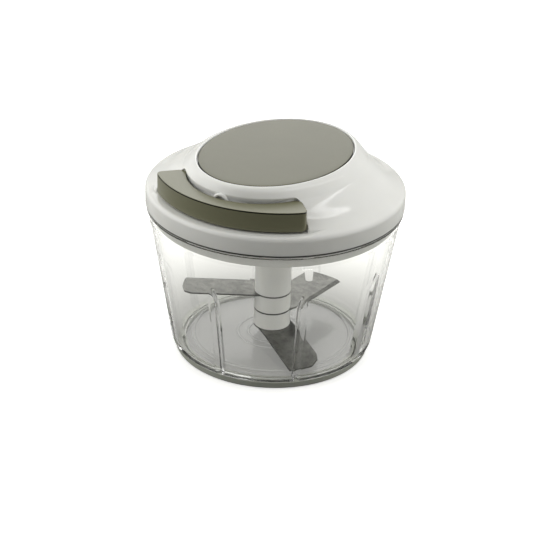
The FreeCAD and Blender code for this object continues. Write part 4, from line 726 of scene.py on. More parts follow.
def rounded_path(corners: list[tuple[float, ...]], steps: int = 6) -> list[tuple[float, float]]:
    """Points of an open outline whose corners may be rounded.

    Args:
        corners: Each corner's two coordinates and, where it is rounded, its radius.
        steps: Points on each rounding.

    Returns:
        The outline's points.
    """
    path = []
    for at, corner in enumerate(corners):
        here = Vector(corner[:2])
        if len(corner) < 3 or at in (0, len(corners) - 1):
            path.append(tuple(here))
            continue
        back = (Vector(corners[at - 1][:2]) - here).normalized()
        on = (Vector(corners[at + 1][:2]) - here).normalized()
        half = back.angle(on) / 2
        centre = here + (back + on).normalized() * (corner[2] / math.sin(half))
        start = here + back * (corner[2] / math.tan(half)) - centre
        end = here + on * (corner[2] / math.tan(half)) - centre
        sweep = start.angle_signed(end)
        for step in range(steps + 1):
            turn = -sweep * step / steps
            path.append((centre.x + start.x * math.cos(turn) - start.y * math.sin(turn),
                         centre.y + start.x * math.sin(turn) + start.y * math.cos(turn)))
    return path


def smooth(share: float) -> float:
    """Ease a share between 0 and 1 with level ends, held within them."""
    share = min(max(share, 0.0), 1.0)
    return share * share * (3 - 2 * share)


def lesser(one: float, other: float, rounding: float) -> float:
    """The lesser of two heights, with a rounding where they meet."""
    overlap = max(rounding - abs(one - other), 0.0) / rounding
    return min(one, other) - overlap * overlap * rounding / 4


@dataclass(frozen=True)
class BowlSizes:
    """Sizes of the clear bowl in millimetres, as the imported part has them."""

    base_radius: float = 57.3
    rim_radius: float = 69.5
    underside: float = 3.62
    corner_rise: float = 3.2
    floor: float = 6.0
    inner_corner: float = 2.6
    taper_top: float = 80.0
    flange_bottom: float = 86.7
    flange_top: float = 88.0
    flange_radius: float = 71.6
    rim: float = 96.0
    wall: float = 2.2
    # Roundings of the outer foot and of the bend above the taper, of edges and of hollows
    foot_rounding: float = 4.0
    foot_inset: float = 0.2
    bend_rounding: float = 8.0
    edge_rounding: float = 0.3
    rim_rounding: float = 0.5
    fillet: float = 0.4
    ridge_rise: float = 0.35
    ridge_roundings: tuple[float, float] = (0.8, 0.6)
    floor_rings: tuple[float, ...] = (45.0, 19.4, 13.5)
    ring_half_widths: tuple[float, ...] = (1.1, 0.9, 0.9)
    boss_radius: float = 6.0
    boss_top: float = 8.2
    boss_roundings: tuple[float, float] = (0.6, 0.5)
    pin_seat: float = 2.55
    seat_bottom: float = 4.9
    baffles: int = 8
    baffle_depth: float = 4.3
    baffle_shoulder: float = 49.0
    baffle_top: float = 62.8
    # Radius on the floor from which the baffles press in, and radius at which widths are taken
    baffle_from: float = 47.5
    mean_radius: float = 60.0
    # Half-widths, and the shares of them over which a ridge or groove rises
    ridge_half_width: float = 3.1
    ridge_flank: float = 0.7
    groove_half_width: float = 1.9
    groove_flank: float = 0.85
    skin: float = 1.7
    lug_bottom: float = 79.5
    lug_reach: float = 0.7
    lug_half_width: float = 2.4
    lug_side: float = 0.4
    lug_foot: float = 0.8
    # Length of the outline's stretches, and of long ones between these heights
    stretch: float = 3.0
    fine_stretch: float = 0.7
    long: float = 5.0
    fine_heights: tuple[float, float] = (45.0, 64.8)
    # Distances of the mesh's columns from a baffle's middle, and steps between two baffles
    beside: tuple[float, ...] = (*(0.16 * step for step in range(1, 21)), 3.5, 4.0, 4.6)
    plain_steps: int = 12


@dataclass
class Bowl:
    """Clear tapered bowl with eight pressed-in baffles, moulded with soft edges."""

    sizes: BowlSizes = BowlSizes()

    def build(self, dresser: Dresser) -> None:
        """Make the bowl and dress it."""
        dresser.dress(self.make_wall(), "bowl_clear", "bowl", Body.BOWL)

    def profile(self) -> list[tuple[float, float, bool]]:
        """Outline from the underside's middle, outside and over the rim, to the seat of the pin.

        Returns:
            Radius, height and whether the point is on the outside.
        """
        s = self.sizes
        slope = (s.rim_radius - s.base_radius) / (s.taper_top - s.underside - s.corner_rise)
        low_inside = s.base_radius + (s.floor - s.underside - s.corner_rise) * slope - s.wall
        outside = rounded_path([
            (s.pin_seat, s.underside),
            (s.base_radius - s.foot_inset, s.underside, s.foot_rounding),
            (s.rim_radius, s.taper_top, s.bend_rounding), (s.rim_radius, s.flange_bottom, s.fillet),
            (s.flange_radius, s.flange_bottom, s.edge_rounding),
            (s.flange_radius, s.flange_top, s.edge_rounding),
            (s.rim_radius, s.flange_top, s.edge_rounding), (s.rim_radius, s.rim, s.rim_rounding),
            (s.rim_radius - s.wall / 2, s.rim)], steps=9)
        corners: list[tuple[float, ...]] = [
            (s.rim_radius - s.wall / 2, s.rim), (s.rim_radius - s.wall, s.rim, s.rim_rounding),
            (s.rim_radius - s.wall, s.taper_top, s.bend_rounding),
            (low_inside, s.floor, s.inner_corner)]
        foot, crest = s.ridge_roundings
        for radius, half in zip(s.floor_rings, s.ring_half_widths):
            top = s.floor + s.ridge_rise
            corners += [(radius + half, s.floor, foot), (radius + half / 3, top, crest),
                        (radius - half / 3, top, crest), (radius - half, s.floor, foot)]
        foot, crest = s.boss_roundings
        corners += [(s.boss_radius, s.floor, foot), (s.boss_radius, s.boss_top, crest),
                    (s.pin_seat, s.boss_top, s.edge_rounding), (s.pin_seat, s.seat_bottom)]
        inside = rounded_path(corners, steps=4)
        return ([(*point, True) for point in self.spaced(outside)]
                + [(*point, False) for point in self.spaced(inside)[1:]])

    def spaced(self, path: list[tuple[float, float]]) -> list[tuple[float, float]]:
        """Split long stretches of an outline so that it can bend round the baffles.

        Args:
            path: Radii and heights of the outline's points.

        Returns:
            The same outline with more points.
        """
        s = self.sizes
        low, high = s.fine_heights
        dense = [path[0]]
        for start, end in zip(path, path[1:]):
            cuts = [start[1] + (end[1] - start[1]) * share for share in (0.25, 0.5, 0.75)]
            length = math.dist(start, end)
            fine = length > s.long and any(low < height < high for height in cuts)
            count = max(1, round(length / (s.fine_stretch if fine else s.stretch)))
            dense += [tuple(Vector(start).lerp(Vector(end), step / count))
                      for step in range(1, count + 1)]
        return dense

    def baffle(self, across: float, height: float, outside: bool) -> float:
        """How far a baffle presses the wall inwards.

        Args:
            across: Distance from the baffle's middle, round the wall.
            height: Height above the floor that the chopper stands on.
            outside: Whether this is the groove outside or the ridge inside.

        Returns:
            The distance in millimetres.
        """
        s = self.sizes
        width, depth, flank = s.ridge_half_width, s.baffle_depth, s.ridge_flank
        if outside:
            width, depth, flank = s.groove_half_width, s.wall + depth - s.skin, s.groove_flank
        climb = (height - s.baffle_shoulder) / (s.baffle_top - s.baffle_shoulder)
        climb = min(max(climb, 0.0), 1.0)
        width *= math.sqrt(1 - climb * climb)
        if abs(across) >= width:
            return 0.0
        return depth * smooth(1 - climb) * smooth((1 - abs(across) / width) / flank)

    def make_wall(self) -> bpy.types.Object:
        """Turn the outline round the axis, with the baffles and the lugs in it.

        Returns:
            The bowl.
        """
        s = self.sizes
        near = [math.degrees(part / s.mean_radius) for part in s.beside]
        pitch = 360 / s.baffles
        plain = [near[-1] + (pitch - 2 * near[-1]) * step / s.plain_steps
                 for step in range(1, s.plain_steps)]
        angles = [at * pitch + turn for at in range(s.baffles)
                  for turn in [0, *near, *plain, *(pitch - part for part in reversed(near))]]
        rows = []
        for radius, height, outside in self.profile():
            row = []
            for angle in angles:
                off = (angle + pitch / 2) % pitch - pitch / 2
                across = math.radians(off) * s.mean_radius
                press = self.baffle(across, height, outside)
                press *= smooth((radius - s.baffle_from) / (s.base_radius - s.wall - s.baffle_from))
                lug = outside and int(angle / pitch + 0.5) % 2
                if lug and s.lug_bottom <= height <= s.flange_bottom:
                    edge = smooth((s.lug_half_width + s.lug_side / 2 - abs(across)) / s.lug_side)
                    press -= s.lug_reach * edge * smooth((height - s.lug_bottom) / s.lug_foot)
                way = math.radians(angle - 90)
                row.append(Vector((math.cos(way), math.sin(way), 0)) * (radius - press) * MM
                           + Vector((0, 0, height * MM)))
            rows.append(row)
        poles = (Vector((0, 0, s.underside * MM)), Vector((0, 0, s.seat_bottom * MM)))
        return skin("bowl_moulded", rows, poles, sharp=50)


@dataclass(frozen=True)
class ShellSizes:
    """Sizes of the lid's shell in millimetres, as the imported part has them."""

    radius: float = 72.0
    wall: float = 2.2
    skirt_bottom: float = 89.0
    brim_corner: float = 98.6
    brim_rounding: float = 2.2
    # Height, half-length along Y and half-width along X of the dome's ovals
    ovals: tuple[tuple[float, float, float], ...] = (
        (98.6, 72.0, 72.0), (103.0, 63.5, 63.5), (107.0, 59.4, 57.2), (112.0, 56.8, 49.2),
        (113.4, 56.1, 47.6), (115.0, 55.4, 45.7), (116.4, 54.6, 44.0), (117.5, 53.5, 42.2))
    top: float = 118.2
    # The rim round the panel: share of the way out to the point before, and depth under the top
    rim_points: tuple[tuple[float, float], ...] = ((0.62, 0.25), (0.4, 0.0), (0.0, 0.75))
    seat: float = 115.98
    seat_length: float = 51.3
    seat_width: float = 39.8
    rim_width: float = 1.9  # over which the rim rises from the panel's gap
    recess_floor: float = 99.3
    recess_centre: float = 20.0
    recess_radius: float = 36.9
    recess_half_angle: float = 45.25
    recess_slope: float = 14.0
    groove_top: float = 113.4
    groove_length: float = 56.1
    groove_width: float = 47.6
    least_undercut: float = 0.5
    # Distances over which the undercut begins in front of the edge and beside the recess's end
    undercut_front: float = 0.25
    undercut_side: float = 0.6
    refill: float = 6.0  # over which the recess floor takes up the undercut
    end_rounding: float = 4.6
    brim_from: float = 66.0  # where the recess's ends turn into soft ramps
    brim_slope: float = 0.18
    brim_blend: float = 1.5
    # Roundings where the recess meets the dome, and what the brim adds to them
    meeting: float = 0.01
    brim_meeting: float = 0.6
    # Turn past the recess's end, in radians, from which a place counts as this far off
    behind: float = 1.5
    far_off: float = 99.0
    brim_depth: float = 1.9
    skirt_rounding: float = 0.5
    under_brim: float = 4.0
    guide_height: float = 108.6
    guide_hole: float = 4.3
    guide_front: float = 45.0
    # The mesh's columns: the angle where the close ones begin, their sweep, and their numbers
    front_from: float = -145.0
    front_sweep: float = 110.0
    front_columns: int = 260
    back_columns: int = 130
    # The mesh's rows on the rim, the groove, the recess's wall, its floor and the brim
    rim_rows: int = 8
    groove_rows: int = 20
    wall_rows: tuple[float, ...] = tuple(0.02 + 0.07 * step for step in range(16))
    floor_from: float = 1.3
    floor_rows: int = 55
    brim_rows: int = 8
    # Inside, the mesh has every fourth of the rows outside, from this far in from the brim
    inside_from: int = 16
    inside_every: int = 4


@dataclass
class LidShell:
    """White dome with a sloping brim, a deep skirt and the scooped recess behind the handle."""

    sizes: ShellSizes = ShellSizes()

    def build(self, dresser: Dresser) -> None:
        """Make the shell and dress it."""
        dresser.dress(self.make_shell(), "shell_white", "lid_shell", Body.LID)

    def reach(self, length: float, width: float, way: float) -> float:
        """Radius of an oval in a direction, from its half-length and its half-width."""
        return 1 / math.hypot(math.cos(way) / width, math.sin(way) / length)

    def dome(self, radius: float, way: float) -> float:
        """Height of the smooth dome without its recess.

        Args:
            radius: Distance from the axis.
            way: Direction from +X, in radians.

        Returns:
            The height in millimetres.
        """
        s = self.sizes
        knots = [(self.reach(length, width, way), height) for height, length, width in s.ovals]
        edge = self.reach(s.seat_length, s.seat_width, way)
        for share, below in s.rim_points:
            knots.append((edge + (knots[-1][0] - edge) * share, s.top - below))
        knots.reverse()
        slopes = [(b[1] - a[1]) / (b[0] - a[0]) for a, b in zip(knots, knots[1:])]
        radius = min(max(radius, knots[0][0]), knots[-1][0])
        at = max(index for index, knot in enumerate(knots[:-1]) if radius >= knot[0])

        def tangent(index: int) -> float:
            """Slope at a knot that keeps the curve free of bumps.

            Args:
                index: The knot's number.

            Returns:
                The slope.
            """
            if index in (0, len(knots) - 1):
                return slopes[min(index, len(slopes) - 1)]
            left, right = slopes[index - 1], slopes[index]
            return 0.0 if left * right <= 0 else 2 * left * right / (left + right)

        (near, low), (far, high) = knots[at], knots[at + 1]
        span = far - near
        t = (radius - near) / span
        return ((2 * t ** 3 - 3 * t ** 2 + 1) * low + (t ** 3 - 2 * t ** 2 + t) * span * tangent(at)
                + (3 * t ** 2 - 2 * t ** 3) * high + (t ** 3 - t ** 2) * span * tangent(at + 1))

    def within(self, x: float, y: float) -> tuple[float, float]:
        """Place a point of the lid relative to the handle's recess.

        Args:
            x: Place across, in millimetres.
            y: Place along, in millimetres.

        Returns:
            Distance in front of the groove's edge, and outside the recess's nearer end.
        """
        s = self.sizes
        radius = math.hypot(x, y)
        ahead = radius - self.reach(s.groove_length, s.groove_width, math.atan2(y, x))
        turn = math.atan2(abs(x), -y) - math.radians(s.recess_half_angle)
        return ahead, radius * math.sin(turn) if abs(turn) < s.behind else s.far_off

    def scooped(self, x: float, y: float, height: float) -> Vector:
        """Give the shell's point at a place, lowered into the handle's recess where that is.

        Args:
            x: Place across, in millimetres.
            y: Place along, in millimetres.
            height: Height of the smooth dome there.

        Returns:
            The point; below the groove's edge it is drawn inwards under the dome.
        """
        s = self.sizes
        ahead, beside = self.within(x, y)
        radius = math.hypot(x, y)
        outer = smooth((radius - s.brim_from) / s.brim_blend)
        end = max(beside, 0.0) * (s.recess_slope * (1 - outer) + s.brim_slope * outer)
        corner = (max(s.end_rounding - ahead, 0.0), max(s.end_rounding + beside, 0.0))
        if min(corner) > 0:
            ahead = min(ahead, s.end_rounding - math.hypot(*corner))
        low = max(s.groove_top - ahead * s.recess_slope, s.recess_floor + end, s.recess_floor)
        low = lesser(low, height, s.meeting + s.brim_meeting * outer)
        if low >= height or ahead <= 0:
            return Vector((x, y, height))
        foot_at = (s.groove_top - s.recess_floor) / s.recess_slope
        across = s.recess_centre * x / radius
        along = -s.recess_centre * y / radius
        edge = radius - ahead
        foot = min(along + math.sqrt(s.recess_radius ** 2 - across ** 2), edge - s.least_undercut)
        reach_in = edge - foot
        drawn = smooth(ahead / s.undercut_front) * (min(ahead, foot_at) + reach_in)
        drawn *= max(0.0, 1 - max(ahead - foot_at, 0.0) / s.refill)
        drawn *= smooth(-beside / s.undercut_side)
        return Vector((x * (1 - drawn / radius), y * (1 - drawn / radius), low))

    def ways(self) -> list[float]:
        """List the directions of the mesh's columns, which are closer round the recess.

        Returns:
            The directions from +X, in radians.
        """
        s = self.sizes
        back_from, back_sweep = s.front_from + s.front_sweep, 360 - s.front_sweep
        front = [s.front_from + s.front_sweep * step / s.front_columns
                 for step in range(s.front_columns)]
        back = [back_from + back_sweep * step / s.back_columns for step in range(s.back_columns)]
        return [math.radians(angle) for angle in front + back]

    def stations(self) -> list[tuple[float, float]]:
        """List the ovals of the mesh's rows from the panel's seat to the brim.

        Returns:
            Their half-lengths and half-widths.
        """
        s = self.sizes
        rim = [s.rim_width * step / s.rim_rows for step in range(s.rim_rows + 1)]
        stations = [(s.seat_length + part, s.seat_width + part) for part in rim]
        length, width = stations[-1]
        stations += [(length + (s.groove_length - length) * step / s.groove_rows,
                      width + (s.groove_width - width) * step / s.groove_rows)
                     for step in range(1, s.groove_rows + 1)]
        length, width = stations[-1]
        inner_brim = s.radius - s.brim_rounding
        floor = inner_brim - length - s.floor_from
        past = [*s.wall_rows, *(s.floor_from + floor * step / s.floor_rows
                                for step in range(s.floor_rows + 1))]
        spread = (inner_brim - width) / (inner_brim - length)
        return stations + [(length + part, width + part * spread) for part in past]

    def oval_row(self, length: float, width: float, drop: float | None) -> list[Vector]:
        """Lay points round one oval, on the scooped dome or at the height of the panel's seat.

        Args:
            length: Half-length of the oval.
            width: Half-width of the oval.
            drop: How far the points lie under the dome, or None for the seat's height.

        Returns:
            The points, in metres.
        """
        row = []
        for way in self.ways():
            x, y = width * math.cos(way), length * math.sin(way)
            point = Vector((x, y, self.sizes.seat))
            if drop is not None:
                point = self.scooped(x, y, self.dome(math.hypot(x, y), math.atan2(y, x)))
                point.z -= drop
            row.append(point * MM)
        return row

    def make_shell(self) -> bpy.types.Object:
        """Lay rows of points from the panel's seat over the brim, and back up inside.

        Returns:
            The shell.
        """
        s = self.sizes
        rounds = [Vector((math.cos(way), math.sin(way), 0)) for way in self.ways()]
        stations = self.stations()
        rows = [self.oval_row(s.seat_length, s.seat_width, None)]
        rows += [self.oval_row(length, width, 0) for length, width in stations]
        slope = (s.ovals[1][0] - s.brim_corner) / (s.radius - s.ovals[1][1])
        start = Vector((s.radius - s.brim_rounding, s.brim_corner + s.brim_rounding * slope))
        corner = Vector((s.radius, s.brim_corner))
        end = Vector((s.radius, s.brim_corner - s.brim_depth))
        for step in range(1, s.brim_rows + 1):
            t = step / s.brim_rows
            point = start * (1 - t) ** 2 + corner * 2 * t * (1 - t) + end * t * t
            rows.append([self.scooped(point.x * math.cos(way), point.x * math.sin(way),
                                      point.y) * MM for way in self.ways()])
        inner = s.radius - s.wall
        under = rounded_path([
            (s.radius, end.y - s.skirt_rounding), (s.radius, s.skirt_bottom, s.skirt_rounding),
            (inner, s.skirt_bottom, s.skirt_rounding),
            (inner, s.brim_corner - s.wall, s.skirt_rounding),
            (inner - s.under_brim, s.brim_corner - s.wall)], steps=4)
        rows += [[(way * radius + Vector((0, 0, height))) * MM for way in rounds]
                 for radius, height in under]
        rows += [self.oval_row(length - s.wall, width - s.wall, s.wall)
                 for length, width in stations[-s.inside_from::-s.inside_every]]
        poles = (Vector((0, 0, s.seat * MM)), Vector((0, 0, (s.seat - s.wall) * MM)))
        shell = skin("lid_shell_moulded", rows, poles, sharp=48)
        self.open_guide_hole(shell)
        return shell

    def open_guide_hole(self, shell: bpy.types.Object) -> None:
        """Take out the faces behind the cord guide's lip.

        Args:
            shell: The shell.
        """
        s = self.sizes
        with editing(shell.data) as shape:
            behind = []
            for face in shape.faces:
                spot = face.calc_center_median() / MM
                off = math.hypot(spot.x, spot.z - s.guide_height)
                if spot.y < -s.guide_front and off < s.guide_hole:
                    behind.append(face)
            bmesh.ops.delete(shape, geom=behind, context="FACES")


@dataclass(frozen=True)
class HandleSizes:
    """Sizes of the pull handle in millimetres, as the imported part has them."""

    outer_radius: float = 67.0
    inner_radius: float = 38.5
    inner_centre: float = 20.0
    half_angle: float = 45.0
    bottom: float = 100.2
    height: float = 11.2
    edge_rounding: float = 0.14
    parting_depth: float = 1.3
    parting_height: float = 0.6
    foot_rounding: float = 1.0
    outer_corner: float = 3.2
    inner_corner: float = 3.6
    wall: float = 2.0
    hollow: float = 1.6
    # Radius added where an inset is turned into an angle at the ends
    end_radius: float = 8.0
    # Lengths of the arcs that the corners take up, in corner radii, and their radii's own share
    outer_taken: float = 1.1
    inner_taken: float = 1.7
    corner_share: float = 0.98
    least_corner: float = 0.2
    outer_steps: int = 40
    inner_steps: int = 30
    # Rows of the mesh: round the foot, up the side, over the top edge and in on the top
    foot_steps: int = 6
    side_rows: tuple[float, ...] = (0.3, 0.6, 0.8)
    top_steps: int = 3
    top_insets: tuple[float, ...] = (0.6, 1.9)
    # Height between the parting groove and the rounded top edge
    land: float = 0.02


@dataclass
class Handle:
    """Taupe crescent grip with soft edges, open below round its cover."""

    sizes: HandleSizes = HandleSizes()

    def build(self, dresser: Dresser) -> None:
        """Make the grip and dress it."""
        dresser.dress(self.make_grip(), "handle_taupe", "handle_grip", Body.HANDLE)

    def outline(self, inset: float) -> list[tuple[float, float]]:
        """Crescent seen from above, drawn in by a distance.

        Args:
            inset: The distance in millimetres.

        Returns:
            Points in order, always the same number.
        """
        s = self.sizes
        outer, inner = s.outer_radius - inset, s.inner_radius + inset
        end_radius = (s.outer_radius + s.inner_radius) / 2 + s.end_radius
        half = math.radians(s.half_angle) - inset / end_radius
        along = s.inner_centre * math.cos(half)
        reach = along + math.sqrt(along * along - s.inner_centre ** 2 + inner * inner)
        far = Vector((outer * math.sin(half), -outer * math.cos(half)))
        near = Vector((reach * math.sin(half), -reach * math.cos(half)))
        outer_corner = max(s.outer_corner - inset, s.least_corner)
        inner_corner = max(s.inner_corner - inset, s.least_corner)
        front = math.atan2(far.x, -far.y) - s.outer_taken * outer_corner / outer
        behind = math.atan2(near.x, -(near.y + s.inner_centre))
        behind -= s.inner_taken * inner_corner / inner
        turns = [front * (step / s.outer_steps * 2 - 1) for step in range(s.outer_steps + 1)]
        arc = [(outer * math.sin(turn), -outer * math.cos(turn)) for turn in turns]
        turns = [behind * (1 - 2 * step / s.inner_steps) for step in range(s.inner_steps + 1)]
        back = [(inner * math.sin(turn), -s.inner_centre - inner * math.cos(turn))
                for turn in turns]
        end = rounded_path([arc[-1], (*far, outer_corner * s.corner_share),
                            (*near, inner_corner * s.corner_share), back[0]])
        mirrored = [(-x, y) for x, y in reversed(end[1:-1])]
        return arc + end[1:-1] + back + mirrored

    def make_grip(self) -> bpy.types.Object:
        """Stack outlines from the hollow below, round the outside and over the top.

        Returns:
            The grip.
        """
        s = self.sizes
        top = s.bottom + s.height
        levels = [(s.wall, s.bottom + s.hollow), (s.wall, s.bottom), (s.foot_rounding, s.bottom)]
        for step in range(1, s.foot_steps + 1):
            turn = math.pi / 2 * step / s.foot_steps
            levels.append((s.foot_rounding * (1 - math.sin(turn)),
                           s.bottom + s.foot_rounding * (1 - math.cos(turn))))
        levels += [(0.0, s.bottom + s.height * share) for share in s.side_rows]
        lip = top - s.edge_rounding - s.land
        levels += [(0.0, lip - s.parting_height), (s.parting_depth, lip - s.parting_height),
                   (s.parting_depth, lip), (0.0, lip)]
        levels += over_edge(s.edge_rounding, top, s.top_steps)
        levels += [(inset, top) for inset in s.top_insets]
        rows = [[Vector((x, y, height)) * MM for x, y in self.outline(inset)]
                for inset, height in levels]
        grip = skin("handle_grip_moulded", rows, sharp=45)
        with editing(grip.data) as shape:
            bmesh.ops.holes_fill(shape, edges=[edge for edge in shape.edges if edge.is_boundary])
        return grip


@dataclass(frozen=True)
class PanelSizes:
    """Sizes of the taupe plate in the dome's top, in millimetres."""

    half_length: float = 50.8
    half_width: float = 39.3
    bottom: float = 116.0
    edge_top: float = 118.0
    crown: float = 0.4
    edge_rounding: float = 0.4
    # Inset and rise of the lower edge's slant
    slant: tuple[float, float] = (0.5, 0.3)
    edge_steps: int = 5
    crown_rows: int = 12
    columns: int = 144


@dataclass
class TopPanel:
    """Oval plate with a barely crowned face, which lets its sheen fade across it."""

    sizes: PanelSizes = PanelSizes()

    def build(self, dresser: Dresser) -> None:
        """Make the plate and dress it."""
        dresser.dress(self.make_plate(), "panel_taupe", "top_panel", Body.LID)

    def make_plate(self) -> bpy.types.Object:
        """Lay ovals up the plate's edge and in over its crowned face.

        Returns:
            The plate.
        """
        s = self.sizes
        levels = [(s.slant[0], s.bottom), (0.0, s.bottom + s.slant[1])]
        levels += over_edge(s.edge_rounding, s.edge_top, s.edge_steps)
        inward = s.half_width - s.edge_rounding
        for step in range(1, s.crown_rows + 1):
            share = step / (s.crown_rows + 1)
            levels.append((s.edge_rounding + inward * share,
                           s.edge_top + s.crown * (1 - (1 - share) ** 2)))
        rows = []
        for inset, height in levels:
            kept = 1 - inset / s.half_width
            rows.append([Vector((s.half_width * kept * math.cos(way),
                                 s.half_length * kept * math.sin(way), height)) * MM
                         for way in full_turn(s.columns)])
        poles = (Vector((0, 0, s.bottom)) * MM, Vector((0, 0, s.edge_top + s.crown)) * MM)
        return skin("top_panel_moulded", rows, poles, sharp=50)


@dataclass(frozen=True)
class GuideSizes:
    """Sizes of the cord's eyelet in millimetres."""

    height: float = 108.9
    front: float = 57.7
    length: float = 7.0
    bore: float = 3.1
    narrow: float = 1.9
    narrow_drop: float = 0.75
    body_radius: float = 4.2
    lip_radius: float = 4.9
    lip_thickness: float = 1.9
    lip_rounding: float = 0.9
    mouth_rounding: float = 0.8
    edge_rounding: float = 0.3
    fillet: float = 0.4
    # Gap between the section's two ends, in the back face
    seam: float = 0.1
    # Depths between which the bore narrows
    step_from: float = 1.4
    step_to: float = 1.6
    columns: int = 48


@dataclass
class CordGuide:
    """White eyelet whose round lip stands a little proud of the recess wall."""

    sizes: GuideSizes = GuideSizes()

    def build(self, dresser: Dresser) -> None:
        """Make the eyelet and dress it."""
        dresser.dress(self.make_eyelet(), "shell_white", "cord_guide", Body.LID)

    def make_eyelet(self) -> bpy.types.Object:
        """Turn the eyelet's section round the cord's way out.

        Returns:
            The eyelet.
        """
        s = self.sizes
        middle = (s.bore + s.lip_radius) / 2
        back = s.front - s.length
        section = rounded_path([
            (middle, back), (s.body_radius, back, s.edge_rounding),
            (s.body_radius, s.front - s.lip_thickness),
            (s.lip_radius, s.front - s.lip_thickness, s.edge_rounding),
            (s.lip_radius, s.front, s.lip_rounding), (s.bore, s.front, s.mouth_rounding),
            (s.bore, s.front - s.step_from, s.fillet),
            (s.narrow, s.front - s.step_to, s.edge_rounding),
            (s.narrow, back, s.fillet), (middle - s.seam, back)])
        rows = []
        for radius, along in section:
            drop = s.narrow_drop * min(max((s.bore - radius) / (s.bore - s.narrow), 0.0), 1.0)
            rows.append([Vector((radius * math.cos(turn), -along,
                                 s.height - drop + radius * math.sin(turn))) * MM
                         for turn in full_turn(s.columns)])
        return skin("cord_guide_moulded", rows, joined=True, sharp=50)


@dataclass(frozen=True)
class CordSizes:
    """Sizes of the cord's lead from the reel to the handle, in millimetres."""

    radius: float = 1.0
    winding_radius: float = 20.0
    height: float = 107.4
    corner: float = 54.9
    bend_radius: float = 10.0
    knot_face: float = 60.5
    start_gap: float = 2.1
    sides: int = 12
    bend_rings: int = 10
    straight_rings: int = 60


@dataclass
class CordLead:
    """Cord from the winding through the guide to the handle, in its rest place."""

    sizes: CordSizes = CordSizes()

    def build(self, dresser: Dresser) -> None:
        """Make the cord and give it its finish.

        Args:
            dresser: What gives it its finish.
        """
        cord = self.make_cord()
        dresser.finish(cord, "cord_nylon", "cord_lead")
        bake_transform(cord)

    def leave(self) -> Vector:
        """Point at which the lead leaves the winding, seen from above."""
        turn = math.acos(self.sizes.winding_radius / self.sizes.corner)
        return Vector((math.sin(turn), -math.cos(turn))) * self.sizes.winding_radius

    def way(self) -> Vector:
        """Direction of the lead from the winding to the guide."""
        return (Vector((0, -self.sizes.corner)) - self.leave()).normalized()

    def make_cord(self) -> bpy.types.Object:
        """Sweep a round section along the lead.

        Returns:
            The cord.
        """
        s = self.sizes
        first = self.leave() + self.way() * s.start_gap
        bend = [tuple(first), (0, -s.corner, s.bend_radius), (0, -s.bend_radius - s.corner)]
        path = [Vector(point) for point in rounded_path(bend, steps=s.bend_rings)[:-1]]
        last = path[-1]
        path += [Vector((0, last.y - (s.knot_face + last.y) * step / s.straight_rings))
                 for step in range(1, s.straight_rings + 1)]
        rows = []
        for at, point in enumerate(path):
            way = (path[min(at + 1, len(path) - 1)] - path[max(at - 1, 0)]).normalized()
            side = Vector((-way.y, way.x, 0))
            middle = Vector((point.x, point.y, s.height))
            spokes = (side * math.cos(turn) + Vector((0, 0, math.sin(turn)))
                      for turn in full_turn(s.sides))
            rows.append([(middle + spoke * s.radius) * MM for spoke in spokes])
        ends = (Vector((first.x, first.y, s.height)) * MM, Vector((0, -s.knot_face, s.height)) * MM)
        return skin("cord_lead_stretching", rows, ends, sharp=60)


@dataclass
class LeafSprings:
    """Flat springs behind the two pawls, in their rest shape."""

    # Where the first pawl turns, in metres; the second lies opposite
    pivot: tuple[float, float] = (0.012673, 0.009995)
    bent_share: float = 0.35
    rings: int = 20

    def build(self, dresser: Dresser) -> None:
        """Make both springs and give them their finish.

        Args:
            dresser: What gives them their finish.
        """
        for node, pawl, side in (("pawl_spring_a", Body.PAWL_A, 1),
                                 ("pawl_spring_b", Body.PAWL_B, -1)):
            leaf, root, tip = self.make_leaf(node, Vector((*self.pivot, 0)) * side)
            dresser.finish(leaf, "spring_steel", node)
            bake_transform(leaf)

    def make_leaf(self, node: str, pivot: Vector) -> tuple[bpy.types.Object, Vector, Vector]:
        """Divide a spring's straight strip along its length, so that it can bend.

        Args:
            node: The spring's CAD node.
            pivot: Where its pawl turns.

        Returns:
            The strip, and the middles of its root and of its tip.
        """
        def off_pivot(corner: Vector) -> float:
            """Distance of a corner from the pawl's pin."""
            return (corner - pivot).xy.length

        corners = {tuple(round(part, 7) for part in vertex.co)
                   for vertex in frame["nodes"][node].data.vertices}
        placed = sorted((Vector(corner) for corner in corners), key=off_pivot)
        near, far = placed[:4], placed[-4:]
        root, tip = sum(near, Vector()) / 4, sum(far, Vector()) / 4
        below = sorted((corner for corner in near if corner.z < root.z), key=off_pivot)
        above = sorted((corner for corner in near if corner.z > root.z), key=off_pivot,
                       reverse=True)
        rows = [[corner + (tip - root) * (step / self.rings) for corner in below + above]
                for step in range(self.rings + 1)]
        return skin(node + "_leaf", rows, (root, tip)), root, tip


@dataclass(frozen=True)
class Glow:
    """Bright patch of the surroundings, in degrees from the camera and above the floor."""

    azimuth: float
    elevation: float
    # Degrees from its middle within which it is at its full strength, and past which it is gone
    full: float
    gone: float
    strength: float


@dataclass(frozen=True)
class Lamp:
    """Rectangular lamp that faces the chopper; its ends are placed as a glow is."""

    name: str
    ends: tuple[tuple[float, float], tuple[float, float]]
    distance: float
    length: float
    width: float
    watts: float


